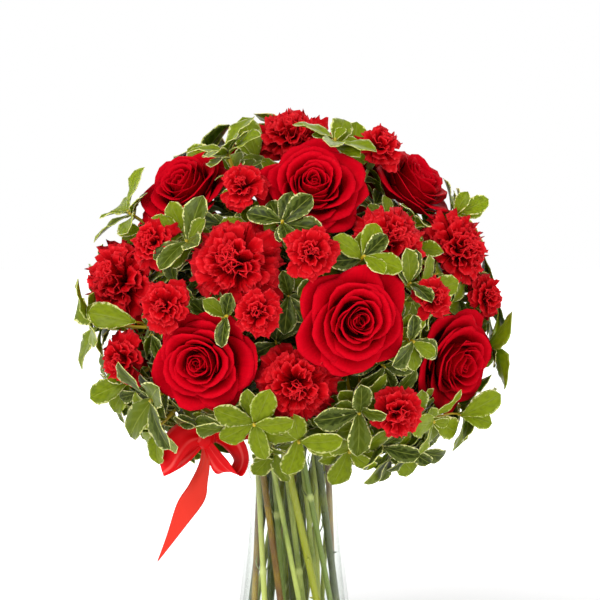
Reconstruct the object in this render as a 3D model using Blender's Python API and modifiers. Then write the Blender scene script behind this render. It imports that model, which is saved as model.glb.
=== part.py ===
"""A glass vase of red roses, carnations and spray carnations with variegated greenery and a ribbon bow.

Metres, +Z up. The origin is the middle of the vase's foot, and the bouquet's front faces -Y.
"""

import math
import random

import bmesh
import bpy
from mathutils import Matrix, Vector
from mathutils.bvhtree import BVHTree

# The vase: radii outside, heights above the table
VASE_HEIGHT = 0.200
FOOT_RADIUS = 0.0465
BELLY_RADIUS = 0.0520
BELLY_HEIGHT = 0.011
WAIST_RADIUS = 0.0376
WAIST_HEIGHT = 0.155
LIP_RADIUS = 0.0530
BODY_CURVE = 1.5
FLARE_CURVE = 2.2
GLASS = 0.0028
BASE_GLASS = 0.009
WATER_LEVEL = 0.183
ROUND_STEPS = 20

# Clearance between neighbouring pieces, and the thickness of petals and leaves at their middle
GAP = 0.0004
PETAL = 0.0016
SAME_POINT = 0.00002
LEAF = 0.0014

# The stems cross the waist in three rings, and all turn about the vase's axis as they go down
RINGS = {"outer": 0.0288, "middle": 0.0175, "inner": 0.0075}
TWIST_PER_METRE = -7.4
TURN_AT_MOUTH = -36
STEM_FOOT = BASE_GLASS + 0.0012
STEM_MOUTH = 0.216
ROSE_STEM = 0.0030
CARNATION_STEM = 0.0023
JOINT_SWELL = 0.0031
FIRST_JOINT = 0.018
JOINT_SPACING = 0.095
JOINT_SHIFT = 0.017
JOINT_SHIFTS = 5
JOINT_LENGTH = 0.008
SPRAY_STEM = 0.0021
WOODY_STEM = 0.0026
SHOOT = 0.0014
HOLE_ROOM = 0.0006
CORNER = 1.15
HOLE_SIDES = 5

# Where along its curve a stem and a thin shoot have their points, and how closely they are tested
STEM_SHARES = (0.3, 0.65, 1.0)
SHOOT_SHARES = (0.55, 1.0)
TEST_SPACING = 0.0025
ROUTE_OFFSETS = (0.0, 0.006, -0.006, 0.012, -0.012, 0.020, -0.020, 0.030, -0.030)
ROUTE_BENDS = ((0.35, 0.40), (0.50, 0.32), (0.25, 0.50), (0.60, 0.45), (0.20, 0.25), (0.45, 0.65))
ROOT_DEPTH = 0.001

# Calyx of each kind: length, and radius where it meets the bloom
CALYX = {"rose": (0.009, 0.0052), "carnation": (0.020, 0.0050), "spray": (0.014, 0.0036)}

# The dome of flowers: its heart, and how far below a bloom's middle its seat is
HEART = Vector((0.0, 0.0, 0.297))
SEAT_DEPTH = {"rose": 0.66, "carnation": 0.60, "spray": 0.55}

# name: (turn from the front and lift above level in degrees, reach from the heart, head radius,
#        lean towards the viewer's side, spin in degrees). Those with a lean below 0 look back.
BLOOMS = {
    "rose_1": (-70, 49, 0.140, 0.036, 0.60, 10),
    "rose_2": (10, 49, 0.141, 0.040, 0.60, 75),
    "rose_3": (88, 49, 0.146, 0.037, 0.30, 20),
    "rose_4": (-29, -10, 0.141, 0.039, 0.55, 130),
    "rose_5": (18, 4, 0.147, 0.041, 0.50, 40),
    "rose_6": (67, -12, 0.141, 0.038, 0.60, 200),
    "rose_7": (-128, 26, 0.140, 0.039, -0.40, 60),
    "rose_8": (178, 46, 0.140, 0.040, -0.40, 15),
    "rose_9": (128, 14, 0.140, 0.039, -0.40, 90),
    "rose_10": (-166, -8, 0.140, 0.040, -0.40, 150),
    "carnation_1": (180, 85, 0.147, 0.031, 0.60, 0),
    "carnation_2": (-77, 13, 0.144, 0.036, 0.50, 30),
    "carnation_3": (-19, 21, 0.141, 0.035, 0.50, 60),
    "carnation_4": (1, -17, 0.134, 0.030, 0.50, 15),
    "carnation_5": (37, 28, 0.140, 0.032, 0.50, 45),
    "carnation_6": (79, 23, 0.144, 0.031, 0.50, 80),
    "carnation_7": (167, 12, 0.140, 0.034, -0.40, 25),
    "carnation_8": (-118, -12, 0.138, 0.033, -0.30, 50),
    "carnation_9": (132, 54, 0.140, 0.033, -0.40, 70),
    "spray_1": (-21, 45, 0.151, 0.018, 0.60, 0),
    "spray_2": (-50, 25, 0.152, 0.019, 0.60, 20),
    "spray_3": (-37, 7, 0.158, 0.019, 0.60, 40),
    "spray_4": (-62, -10, 0.150, 0.020, 0.60, 60),
    "spray_5": (5, 22, 0.158, 0.019, 0.60, 10),
    "spray_6": (-10, 6, 0.152, 0.017, 0.60, 35),
    "spray_7": (44, 9, 0.152, 0.018, 0.60, 55),
    "spray_8": (82, 7, 0.154, 0.019, 0.60, 5),
    "spray_9": (34, -24, 0.151, 0.020, 0.60, 25),
    "spray_10": (62, 61, 0.156, 0.019, 0.60, 45),
    "spray_11": (-152, 60, 0.156, 0.019, -0.40, 15),
    "spray_12": (108, -14, 0.150, 0.019, -0.30, 30),
}
LOWEST_AXIS_LIFT = -14

# Petals: (number, half angle in degrees, then radius and height at the root, half way and at the rim,
#          as shares of the head's radius)
ROSE_LAYERS = (
    (2, 74, (0.04, 0.34), (0.34, 0.66), (0.25, 1.05)),
    (3, 66, (0.04, 0.26), (0.58, 0.52), (0.56, 1.00)),
    (5, 44, (0.05, 0.18), (0.88, 0.32), (1.00, 0.80)),
)
CARNATION_LAYERS = (
    (2, 70, (0.03, 0.56), (0.30, 0.84), (0.34, 1.12)),
    (3, 58, (0.04, 0.44), (0.50, 0.62), (0.72, 0.92)),
    (5, 39, (0.05, 0.30), (0.62, 0.32), (1.00, 0.50)),
)
SPRAY_LAYERS = (
    (2, 70, (0.03, 0.56), (0.36, 0.84), (0.44, 1.14)),
    (5, 39, (0.04, 0.36), (0.62, 0.44), (1.00, 0.72)),
)
# The heart of a head: radius, and height of its foot and its top, as shares of the head's radius
HEARTS = {"rose": (0.22, 0.0, 0.98), "carnation": (0.27, 0.0, 0.86), "spray": (0.32, 0.0, 0.92)}
PINWHEEL = 0.10

# Edges: (across, along, wave) round a petal or leaf from its root, as shares of its half width and length
ROSE_EDGE = ((0, 0, 0), (0.62, 0.36, 0), (1.0, 0.76, 0.2), (0.40, 1.0, -0.3), (-0.40, 1.0, -0.3),
             (-1.0, 0.76, 0.2), (-0.62, 0.36, 0))
CARNATION_EDGE = ((0, 0, 0), (0.62, 0.52, 0), (1.0, 0.94, 1.0), (0.36, 1.0, -1.0), (-0.34, 0.88, 1.0),
                  (-1.0, 0.97, -0.8), (-0.62, 0.52, 0))
SPRAY_EDGE = ((0, 0, 0), (1.0, 0.74, 0.6), (0.55, 1.02, -1.0), (0, 0.88, 1.0), (-0.50, 1.04, -1.0),
              (-1.0, 0.72, 0.6))
LEAF_EDGE = ((0, 0, 0), (0.46, 0.36, 0.7), (1.0, 0.68, -0.8), (0.42, 1.0, 0.7), (-0.40, 0.97, -0.7),
             (-1.0, 0.66, 0.7), (-0.46, 0.36, -0.6))
POINTED_EDGE = ((0, 0, 0), (0.66, 0.22, 0.4), (1.0, 0.50, -0.4), (0, 1.04, 0.3), (-0.98, 0.46, -0.4),
                (-0.62, 0.22, 0.4))
WAVE = {"rose": 0.05, "carnation": 0.085, "spray": 0.10, "leaf": 0.045}

# Leaf whorls: (turn, lift, reach of the shoot's tip, leaf length, leaves, pointed)
WHORLS = (
    (-13, -28, 0.147, 0.034, 5, False),
    (2, -36, 0.142, 0.033, 5, False),
    (24, -42, 0.140, 0.036, 4, False),
    (22, -25, 0.144, 0.038, 4, False),
    (50, -44, 0.139, 0.036, 4, False),
    (57, -30, 0.148, 0.037, 4, False),
    (80, -27, 0.156, 0.037, 4, False),
    (84, -8, 0.160, 0.042, 4, True),
    (-60, -33, 0.144, 0.037, 4, False),
    (-52, -22, 0.149, 0.042, 4, False),
    (-72, 0, 0.164, 0.041, 4, False),
    (-84, -20, 0.154, 0.034, 4, False),
    (-84, -38, 0.144, 0.036, 4, False),
    (-79, 33, 0.158, 0.038, 4, False),
    (-44, 61, 0.154, 0.038, 4, False),
    (30, 66, 0.156, 0.038, 4, False),
    (97, 33, 0.156, 0.034, 4, False),
    (99, 3, 0.156, 0.044, 4, True),
    (22, 22, 0.150, 0.029, 4, False),
    (-38, 27, 0.146, 0.036, 4, False),
    (-4, 34, 0.146, 0.029, 3, False),
    (37, -3, 0.148, 0.031, 3, False),
    (-20, 5, 0.144, 0.027, 3, False),
    (38, 14, 0.145, 0.030, 3, False),
    (180, -32, 0.146, 0.040, 4, False),
    (150, -30, 0.146, 0.040, 4, False),
    (-146, -30, 0.146, 0.040, 4, False),
    (116, -34, 0.146, 0.040, 3, False),
    (-112, -36, 0.146, 0.040, 3, False),
    (-146, 8, 0.152, 0.038, 4, False),
    (150, -8, 0.152, 0.038, 4, False),
    (-172, 18, 0.150, 0.040, 4, False),
    (150, 34, 0.152, 0.038, 4, False),
    (-100, 8, 0.156, 0.040, 4, False),
    (-178, 70, 0.152, 0.040, 4, False),
    (-118, 56, 0.152, 0.040, 4, False),
)
LEAF_WIDTH = 0.54
LEAF_TRIES = 26
LEAF_BEND = 0.5
LEAF_FOLD = 0.22
LEAF_STEP = 0.0017
WHORL_TILT = 66

# Each branch of greenery: the turn it leans to, and the turns between which its whorls lie
BRANCHES = {
    "foliage_front_left": (-62, -92, -2),
    "foliage_front_right": (48, -2, 100),
    "foliage_back_right": (128, 100, 180),
    "foliage_back_left": (-140, -180, -92),
}
BRANCH_REACH = 0.075
BRANCH_LIFT = 22

# Each spray stem: its ring, the turn, lift and reach of its top, and the blooms that it branches to
SPRAYS = {
    "spray_stem_left": ("outer", -42, 8, 0.085, (2, 3, 4, 6)),
    "spray_stem_right": ("outer", 66, -2, 0.085, (7, 8, 9, 12)),
    "spray_stem_top": ("middle", 8, 60, 0.070, (1, 5, 10, 11)),
}

# Which ring each flower's stem crosses the waist in
INNER = ("rose_1", "rose_2", "carnation_9", "carnation_1")
MIDDLE = ("rose_7", "carnation_2", "carnation_3", "carnation_5", "carnation_6", "rose_3", "rose_8")

# The ribbon: a band round the bunch above the mouth, and a bow beside the lip
RIBBON = 0.0008
BAND_RADIUS = 0.0355
BAND_LOW = 0.2055
BAND_HIGH = 0.2125
KNOT = Vector((-0.069, -0.046, 0.207))
KNOT_RADII = (0.0085, 0.0080, 0.0080)
ARC_STEPS = 9

COLOURS = {
    "glass": ((0.86, 0.90, 0.89), 0.03),
    "water": ((0.82, 0.88, 0.86), 0.02),
    "rose_petal": ((0.56, 0.004, 0.012), 0.55),
    "carnation_petal": ((0.72, 0.008, 0.010), 0.60),
    "green_stem": ((0.20, 0.34, 0.13), 0.50),
    "woody_stem": ((0.20, 0.15, 0.05), 0.60),
    "variegated_leaf": ((0.20, 0.36, 0.08), 0.40),
    "satin_ribbon": ((0.72, 0.01, 0.015), 0.30),
}


def facing(turn, lift):
    """The unit vector at this turn from the front and this lift above level, in degrees."""
    a, b = math.radians(turn), math.radians(lift)
    return Vector((math.sin(a) * math.cos(b), -math.cos(a) * math.cos(b), math.sin(b)))


def square_axes(axis):
    """Two unit vectors that make a right-handed frame with the axis: level, and the rest."""
    level = Vector((0, 0, 1)).cross(axis)
    level = level.normalized() if level.length > 1e-4 else Vector((1, 0, 0))
    return level, axis.cross(level).normalized()


def material(name):
    """A Principled material with the named colour and roughness."""
    found = bpy.data.materials.get(name)
    if found:
        return found
    colour, rough = COLOURS[name]
    made = bpy.data.materials.new(name)
    made.use_nodes = True
    shader = made.node_tree.nodes["Principled BSDF"]
    shader.inputs["Base Color"].default_value = (*colour, 1.0)
    shader.inputs["Roughness"].default_value = rough
    if name in ("glass", "water"):
        shader.inputs["Transmission Weight"].default_value = 0.9
    return made


def place(name, mesh, finish, group):
    """Add the mesh to the scene as one named object with its own finish."""
    mesh.materials.clear()
    mesh.materials.append(material(finish))
    made = bpy.data.objects.new(name, mesh)
    group.objects.link(made)
    return made


def mesh_of(bm, name="piece"):
    """Turn the edit mesh into a mesh with its faces looking outwards."""
    bmesh.ops.recalc_face_normals(bm, faces=bm.faces)
    mesh = bpy.data.meshes.new(name)
    bm.to_mesh(mesh)
    bm.free()
    return mesh


def fuse(name, meshes, finish, group, solver="EXACT"):
    """Join closed meshes into one solid with one Boolean union on a collection."""
    work = bpy.data.collections.new(name + "_pieces")
    bpy.context.scene.collection.children.link(work)
    base = bpy.data.objects.new(name + "_base", meshes[0])
    bpy.context.scene.collection.objects.link(base)
    for mesh in meshes[1:]:
        work.objects.link(bpy.data.objects.new(name + "_piece", mesh))
    join = base.modifiers.new("Join", "BOOLEAN")
    join.operation = "UNION"
    join.operand_type = "COLLECTION"
    join.collection = work
    join.solver = solver
    graph = bpy.context.evaluated_depsgraph_get()
    joined = bpy.data.meshes.new_from_object(base.evaluated_get(graph))
    for piece in [base, *work.objects]:
        bpy.data.objects.remove(piece)
    bpy.data.collections.remove(work)
    bm = bmesh.new()
    bm.from_mesh(joined)
    bpy.data.meshes.remove(joined)
    bmesh.ops.delete(bm, geom=[e for e in bm.edges if not e.link_faces], context="EDGES")
    bmesh.ops.triangulate(bm, faces=bm.faces)
    return place(name, mesh_of(bm), finish, group)


def tube(points, radii, sides=4):
    """A closed tube through the points, with its own radius at each."""
    curve = bpy.data.curves.new("tube", "CURVE")
    curve.dimensions = "3D"
    curve.bevel_depth = 1.0
    curve.bevel_resolution = (sides - 4) // 2
    curve.use_fill_caps = True
    spline = curve.splines.new("POLY")
    spline.points.add(len(points) - 1)
    for target, at, radius in zip(spline.points, points, radii):
        target.co = (*at, 1.0)
        target.radius = radius
    holder = bpy.data.objects.new("tube", curve)
    bpy.context.scene.collection.objects.link(holder)
    graph = bpy.context.evaluated_depsgraph_get()
    mesh = bpy.data.meshes.new_from_object(holder.evaluated_get(graph))
    bpy.data.objects.remove(holder)
    bm = bmesh.new()
    bm.from_mesh(mesh)
    bmesh.ops.remove_doubles(bm, verts=bm.verts, dist=SAME_POINT)
    bpy.data.meshes.remove(mesh)
    return mesh_of(bm)


def ball(centre, radii, turned=None, sides=6, rings=3):
    """A faceted ellipsoid."""
    bm = bmesh.new()
    bmesh.ops.create_uvsphere(bm, u_segments=sides, v_segments=rings, radius=1.0)
    matrix = Matrix.Translation(centre) @ (turned or Matrix.Identity(4)) @ Matrix.Diagonal((*radii, 1.0))
    bm.transform(matrix)
    return mesh_of(bm)


def spike(start, end, radius, sides=3):
    """A thin cone from start to its point at end."""
    bm = bmesh.new()
    length = (end - start).length
    bmesh.ops.create_cone(bm, cap_ends=True, segments=sides, radius1=radius, radius2=0.0, depth=length)
    turned = (end - start).to_track_quat("Z", "Y").to_matrix().to_4x4()
    bm.transform(Matrix.Translation((start + end) / 2) @ turned)
    return mesh_of(bm)


def blade(edge, surface, thickness, middle=0.55):
    """A thin lens with the given edge and a peak on each face, laid on a curved surface.

    The surface gives the place of a point from its across, along and height values.
    """
    bm = bmesh.new()
    bmesh.ops.create_uvsphere(bm, u_segments=len(edge), v_segments=2, radius=1.0)
    rim = [v for v in bm.verts if abs(v.co.z) < 0.5]
    rim.sort(key=lambda v: math.atan2(v.co.y, v.co.x))
    poles = [v for v in bm.verts if abs(v.co.z) >= 0.5]
    for pole in poles:
        pole.co = surface(0.0, middle, math.copysign(thickness / 2, pole.co.z))
    for vertex, (across, along, wave) in zip(rim, edge):
        vertex.co = surface(across, along, wave)
    return bm


def bezier(a, b, c, d, t):
    """The point at share t of a cubic Bezier curve."""
    s = 1 - t
    return a * (s * s * s) + b * (3 * s * s * t) + c * (3 * s * t * t) + d * (t * t * t)


class Clearance:
    """The solids that stems and leaves have to keep clear of, by name."""

    def __init__(self):
        self.trees = {}

    def add(self, solid):
        bm = bmesh.new()
        bm.from_mesh(solid.data)
        self.trees[solid.name] = BVHTree.FromBMesh(bm)
        bm.free()

    def holds(self, points, room, skip=()):
        """Whether every point keeps this room from every solid."""
        for name, tree in self.trees.items():
            if name not in skip and any(tree.find_nearest(p, room)[0] for p in points):
                return False
        return True

    def free(self, bm, skip=()):
        """Whether the blade touches none of the solids."""
        tree = BVHTree.FromBMesh(bm, epsilon=GAP)
        return not any(other.overlap(tree) for name, other in self.trees.items() if name not in skip)


def glass_radius(height):
    """The vase's outer radius at this height."""
    if height <= BELLY_HEIGHT:
        share = height / BELLY_HEIGHT
        return FOOT_RADIUS + (BELLY_RADIUS - FOOT_RADIUS) * math.sin(share * math.pi / 2)
    if height <= WAIST_HEIGHT:
        share = (height - BELLY_HEIGHT) / (WAIST_HEIGHT - BELLY_HEIGHT)
        return WAIST_RADIUS + (BELLY_RADIUS - WAIST_RADIUS) * (1 - share) ** BODY_CURVE
    share = (height - WAIST_HEIGHT) / (VASE_HEIGHT - WAIST_HEIGHT)
    return WAIST_RADIUS + (LIP_RADIUS - WAIST_RADIUS) * share ** FLARE_CURVE


def turned_mesh(profile):
    """A closed solid from a profile that runs from the axis round to the axis again."""
    mesh = bpy.data.meshes.new("profile")
    mesh.from_pydata([(r, 0.0, z) for r, z in profile], [(i, i + 1) for i in range(len(profile) - 1)], [])
    holder = bpy.data.objects.new("profile", mesh)
    bpy.context.scene.collection.objects.link(holder)
    screw = holder.modifiers.new("Screw", "SCREW")
    screw.steps = ROUND_STEPS
    screw.render_steps = ROUND_STEPS
    screw.use_merge_vertices = True
    screw.merge_threshold = 0.00005
    graph = bpy.context.evaluated_depsgraph_get()
    turned = bpy.data.meshes.new_from_object(holder.evaluated_get(graph))
    bpy.data.objects.remove(holder)
    bm = bmesh.new()
    bm.from_mesh(turned)
    bmesh.ops.remove_doubles(bm, verts=bm.verts, dist=SAME_POINT)
    bmesh.ops.delete(bm, geom=[e for e in bm.edges if not e.link_faces], context="EDGES")
    on_axis = [v for v in bm.verts if math.hypot(v.co.x, v.co.y) < 0.00001]
    bmesh.ops.dissolve_verts(bm, verts=on_axis)
    return mesh_of(bm)


def make_vase(group):
    """The glass vase: a thick flat base, a body that narrows to a waist, and a flared lip."""
    outer = [0.187, 0.173, WAIST_HEIGHT, 0.105, 0.055, BELLY_HEIGHT]
    inner = [BELLY_HEIGHT + 0.002, 0.055, 0.105, WAIST_HEIGHT, 0.173, 0.187]
    profile = [(LIP_RADIUS - GLASS / 2, VASE_HEIGHT + 0.0006), (LIP_RADIUS, VASE_HEIGHT)]
    profile += [(glass_radius(z), z) for z in outer]
    profile += [(FOOT_RADIUS - 0.001, 0.0), (0.0, 0.0)]
    inside = [(0.0, BASE_GLASS), (FOOT_RADIUS - GLASS, BASE_GLASS)]
    inside += [(glass_radius(z) - GLASS, z) for z in inner]
    inside += [(LIP_RADIUS - GLASS, VASE_HEIGHT), (LIP_RADIUS - GLASS / 2, VASE_HEIGHT + 0.0006)]
    return place("vase", turned_mesh(profile + inside), "glass", group)


def line_of(radius, angle, height):
    """Where a straight stem of the twisted bunch is at this height."""
    turned = 1j * TWIST_PER_METRE * (height - WAIST_HEIGHT)
    spot = radius * complex(math.cos(angle), math.sin(angle)) * (1 + turned)
    return Vector((spot.real, spot.imag, height))


def seat_of(name):
    """A bloom's seat on its calyx, its axis and its head radius."""
    turn, lift, reach, radius, lean, _ = BLOOMS[name]
    out = facing(turn, lift)
    axis = (out + Vector((0, -lean, 0))).normalized()
    lowest = math.sin(math.radians(LOWEST_AXIS_LIFT))
    if axis.z < lowest:
        axis = Vector((axis.x, axis.y, lowest)).normalized()
    kind = name.split("_")[0]
    return HEART + out * reach - axis * radius * SEAT_DEPTH[kind], axis, radius


def bloom_node(name):
    """The name of a bloom's own object."""
    return name.replace("_", "_carnation_" if name.startswith("spray") else "_bloom_")


def petal_surface(seat, axis, radius, turn, half_angle, root, half, rim, wave, pinwheel):
    """The surface that one petal lies on: a bowed strip round the bloom's axis."""
    level, rest = square_axes(axis)
    middle = [2 * h - (a + b) / 2 for a, h, b in zip(root, half, rim)]

    def surface(across, along, height):
        lifted = height * wave * radius if abs(height) > 0.01 else height
        s = 1 - along
        r, z = (a * s * s + m * 2 * s * along + b * along * along for a, m, b in zip(root, middle, rim))
        slope = [2 * s * (m - a) + 2 * along * (b - m) for a, m, b in zip(root, middle, rim)]
        steep = math.hypot(*slope)
        r = (r - lifted / radius * slope[1] / steep) * (1 + pinwheel * across)
        z = z + lifted / radius * slope[0] / steep
        angle = turn + half_angle * across
        return seat + (level * math.cos(angle) + rest * math.sin(angle)) * r * radius + axis * z * radius

    return surface


def make_bloom(name, group):
    """One flower head: a heart and layers of petals whose roots are sunk in it."""
    kind = name.split("_")[0]
    layers, edge = {"rose": (ROSE_LAYERS, ROSE_EDGE), "carnation": (CARNATION_LAYERS, CARNATION_EDGE),
                    "spray": (SPRAY_LAYERS, SPRAY_EDGE)}[kind]
    seat, axis, radius = seat_of(name)
    spin = math.radians(BLOOMS[name][5])
    width, foot, top = HEARTS[kind]
    level, rest = square_axes(axis)
    turned = Matrix((level, rest, axis)).transposed().to_4x4()
    middle = seat + axis * ((foot + top) / 2 * radius + GAP)
    sides, rings = (5, 2) if kind == "spray" else (6, 3)
    heart = ball(middle, (width * radius, width * radius, (top - foot) / 2 * radius), turned, sides, rings)
    pieces = [heart]
    for index, (count, half_angle, root, half, rim) in enumerate(layers):
        for k in range(count):
            turn = spin + index * 0.9 + 2 * math.pi * k / count
            surface = petal_surface(seat, axis, radius, turn, math.radians(half_angle), root, half, rim,
                                    WAVE[kind], PINWHEEL)
            pieces.append(mesh_of(blade(edge, surface, PETAL, middle=0.6)))
    finish = "rose_petal" if kind == "rose" else "carnation_petal"
    return fuse(bloom_node(name), pieces, finish, group)


def route_choices(start, heading, seat, axis):
    """Curves from a stem's start to its seat, the plainest first."""
    span = (seat - start).length
    side = heading.cross(seat - start)
    side = side.normalized() if side.length > 1e-6 else Vector((1, 0, 0))
    for offset in ROUTE_OFFSETS:
        for first, last in ROUTE_BENDS:
            yield (start, start + heading * span * first + side * offset,
                   seat - axis * span * last + side * offset, seat)


def along_line(points):
    """Close points along the straight pieces of a line."""
    for a, b in zip(points, points[1:]):
        count = max(1, int((b - a).length / TEST_SPACING))
        for i in range(count):
            yield a.lerp(b, i / count)
    yield points[-1]


def clear_route(solids, start, heading, seat, axis, radius, shares, skip=()):
    """The first curve whose line keeps clear of every solid: its controls, its line, and if it is clear."""
    plainest = None
    for ways in route_choices(start, heading, seat, axis):
        line = [bezier(*ways, t) for t in shares]
        plainest = plainest or (ways, line, False)
        if solids.holds(list(along_line([start, *line])), radius * CORNER + GAP, skip):
            return ways, line, True
    return plainest


def ring_slots(names_and_turns, ring):
    """Give each stem of a ring its angle at the waist, in the order of the blooms' turns."""
    ordered = sorted(names_and_turns, key=lambda item: item[1])
    step = 360 / len(ordered)
    first = sum(turn - i * step for i, (_, turn) in enumerate(ordered)) / len(ordered)
    return {name: (RINGS[ring], math.radians(first + i * step - TURN_AT_MOUTH - 90))
            for i, (name, _) in enumerate(ordered)}


def stem_plan():
    """Ring radius and angle at the waist for all the stems."""
    outer, middle, inner = [], [], []
    for name, values in BLOOMS.items():
        if name.startswith("spray"):
            continue
        target = inner if name in INNER else middle if name in MIDDLE else outer
        target.append((name, values[0]))
    for name, (ring, turn, *_) in SPRAYS.items():
        (outer if ring == "outer" else middle).append((name, turn))
    for name, (turn, _, _) in BRANCHES.items():
        outer.append((name, turn))
    return {**ring_slots(outer, "outer"), **ring_slots(middle, "middle"), **ring_slots(inner, "inner")}


def straight_part(slot, radius, joint_number=0):
    """Points and radii of a stem from its cut foot to the vase's mouth; only jointed stems have a number."""
    heights = [STEM_FOOT]
    radii = [radius]
    if joint_number:
        at = STEM_FOOT + FIRST_JOINT + JOINT_SHIFT * (joint_number * 3 % JOINT_SHIFTS)
        while at < STEM_MOUTH - JOINT_LENGTH:
            heights += [at - JOINT_LENGTH / 2, at, at + JOINT_LENGTH / 2]
            radii += [radius, JOINT_SWELL, radius]
            at += JOINT_SPACING
    heights.append(STEM_MOUTH)
    radii.append(radius)
    return [line_of(*slot, z) for z in heights], radii


def heading_of(slot):
    """The direction of a straight stem, upwards."""
    return (line_of(*slot, STEM_MOUTH) - line_of(*slot, WAIST_HEIGHT)).normalized()


def make_flower_stem(name, slot, solids, group):
    """A rose or carnation stem with its calyx and sepals."""
    kind = name.split("_")[0]
    seat, axis, _ = seat_of(name)
    length, wide = CALYX[kind]
    thick = ROSE_STEM if kind == "rose" else CARNATION_STEM
    points, radii = straight_part(slot, thick, int(name.split("_")[1]) if kind == "carnation" else 0)
    neck = seat - axis * length
    _, line, good = clear_route(solids, points[-1], heading_of(slot), neck, axis, thick, STEM_SHARES,
                                (bloom_node(name),))
    if not good:
        print("stem not clear:", name)
    points += line
    radii += [thick] * len(line)
    if kind == "rose":
        points += [seat - axis * length * 0.45, seat]
        radii += [wide, wide * 0.8]
    else:
        points += [seat - axis * length * 0.8, seat]
        radii += [wide * 0.85, wide]
    pieces = [tube(points, radii)]
    level, rest = square_axes(axis)
    if kind == "rose":
        for k in range(5):
            angle = 2 * math.pi * k / 5
            out = level * math.cos(angle) + rest * math.sin(angle)
            start = seat - axis * 0.004
            pieces.append(spike(start, start + out * 0.019 - axis * 0.006, 0.0022))
    return fuse(name.replace("_", "_stem_"), pieces, "green_stem", group)


def make_spray_stem(name, slot, solids, group):
    """A spray carnation's stem with a thin side stem and a calyx to each of its blooms."""
    _, turn, lift, reach, numbers = SPRAYS[name]
    top = HEART + facing(turn, lift) * reach
    points, radii = straight_part(slot, SPRAY_STEM)
    ways, line, good = clear_route(solids, points[-1], heading_of(slot), top, facing(turn, lift), SPRAY_STEM,
                                   STEM_SHARES)
    if not good:
        print("spray not clear:", name)
    points += line
    radii += [SPRAY_STEM] * (len(line) - 1) + [SHOOT]
    pieces = [tube(points, radii)]
    for number in numbers:
        bloom = "spray_%d" % number
        seat, axis, _ = seat_of(bloom)
        length, wide = CALYX["spray"]
        neck = seat - axis * length
        for share in (0.55, 0.75, 0.35, 0.9, 0.15):
            start = bezier(*ways, share)
            along = (bezier(*ways, share + 0.05) - start).normalized()
            heading = (along + (neck - start).normalized()).normalized()
            _, line, good = clear_route(solids, start, heading, neck, axis, SHOOT, SHOOT_SHARES,
                                        (bloom_node(bloom),))
            if good:
                break
        if not good:
            print("side stem not clear:", name, number)
        line = [start - heading * ROOT_DEPTH, *line, seat - axis * length * 0.8, seat]
        pieces.append(tube(line, [SHOOT] * (len(line) - 2) + [wide * 0.8, wide]))
    return fuse(name, pieces, "green_stem", group)


def leaf_choices(number, leaf, count, tip, axis, length):
    """Ways that one leaf of a whorl may stand: its direction, upper side and length, best first."""
    draw = random.Random(number * 100 + leaf)
    level, rest = square_axes(axis)
    for attempt in range(LEAF_TRIES):
        loose = 0.25 + 0.06 * attempt
        angle = 2 * math.pi * (leaf + 0.37 * number) / count + draw.uniform(-loose, loose)
        tilt = math.radians(WHORL_TILT + draw.uniform(-14, 12) - 1.6 * attempt)
        out = level * math.cos(angle) + rest * math.sin(angle)
        along = (axis * math.cos(tilt) + out * math.sin(tilt)).normalized()
        up = (axis * math.sin(tilt) - out * math.cos(tilt)).normalized()
        yield along, up, length * draw.uniform(0.84, 1.12) * (1 - 0.012 * attempt), draw.uniform(-0.3, 0.3)


def leaf_surface(tip, along, up, length, roll):
    """The surface of one leaf: bent back along its length and folded a little at its rib."""
    side = along.cross(up).normalized()
    side, up = side * math.cos(roll) + up * math.sin(roll), up * math.cos(roll) - side * math.sin(roll)
    wide = length * LEAF_WIDTH / 2

    def surface(across, share, height):
        lifted = height * WAVE["leaf"] * length if abs(height) > 0.01 else height
        bend = LEAF_BEND * share
        ahead = length * math.sin(bend) / LEAF_BEND
        down = length * (1 - math.cos(bend)) / LEAF_BEND
        normal = up * math.cos(bend) + along * math.sin(bend)
        raised = lifted + abs(across) * wide * LEAF_FOLD
        return tip + along * ahead - up * down + normal * raised + side * across * wide

    return surface


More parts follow.
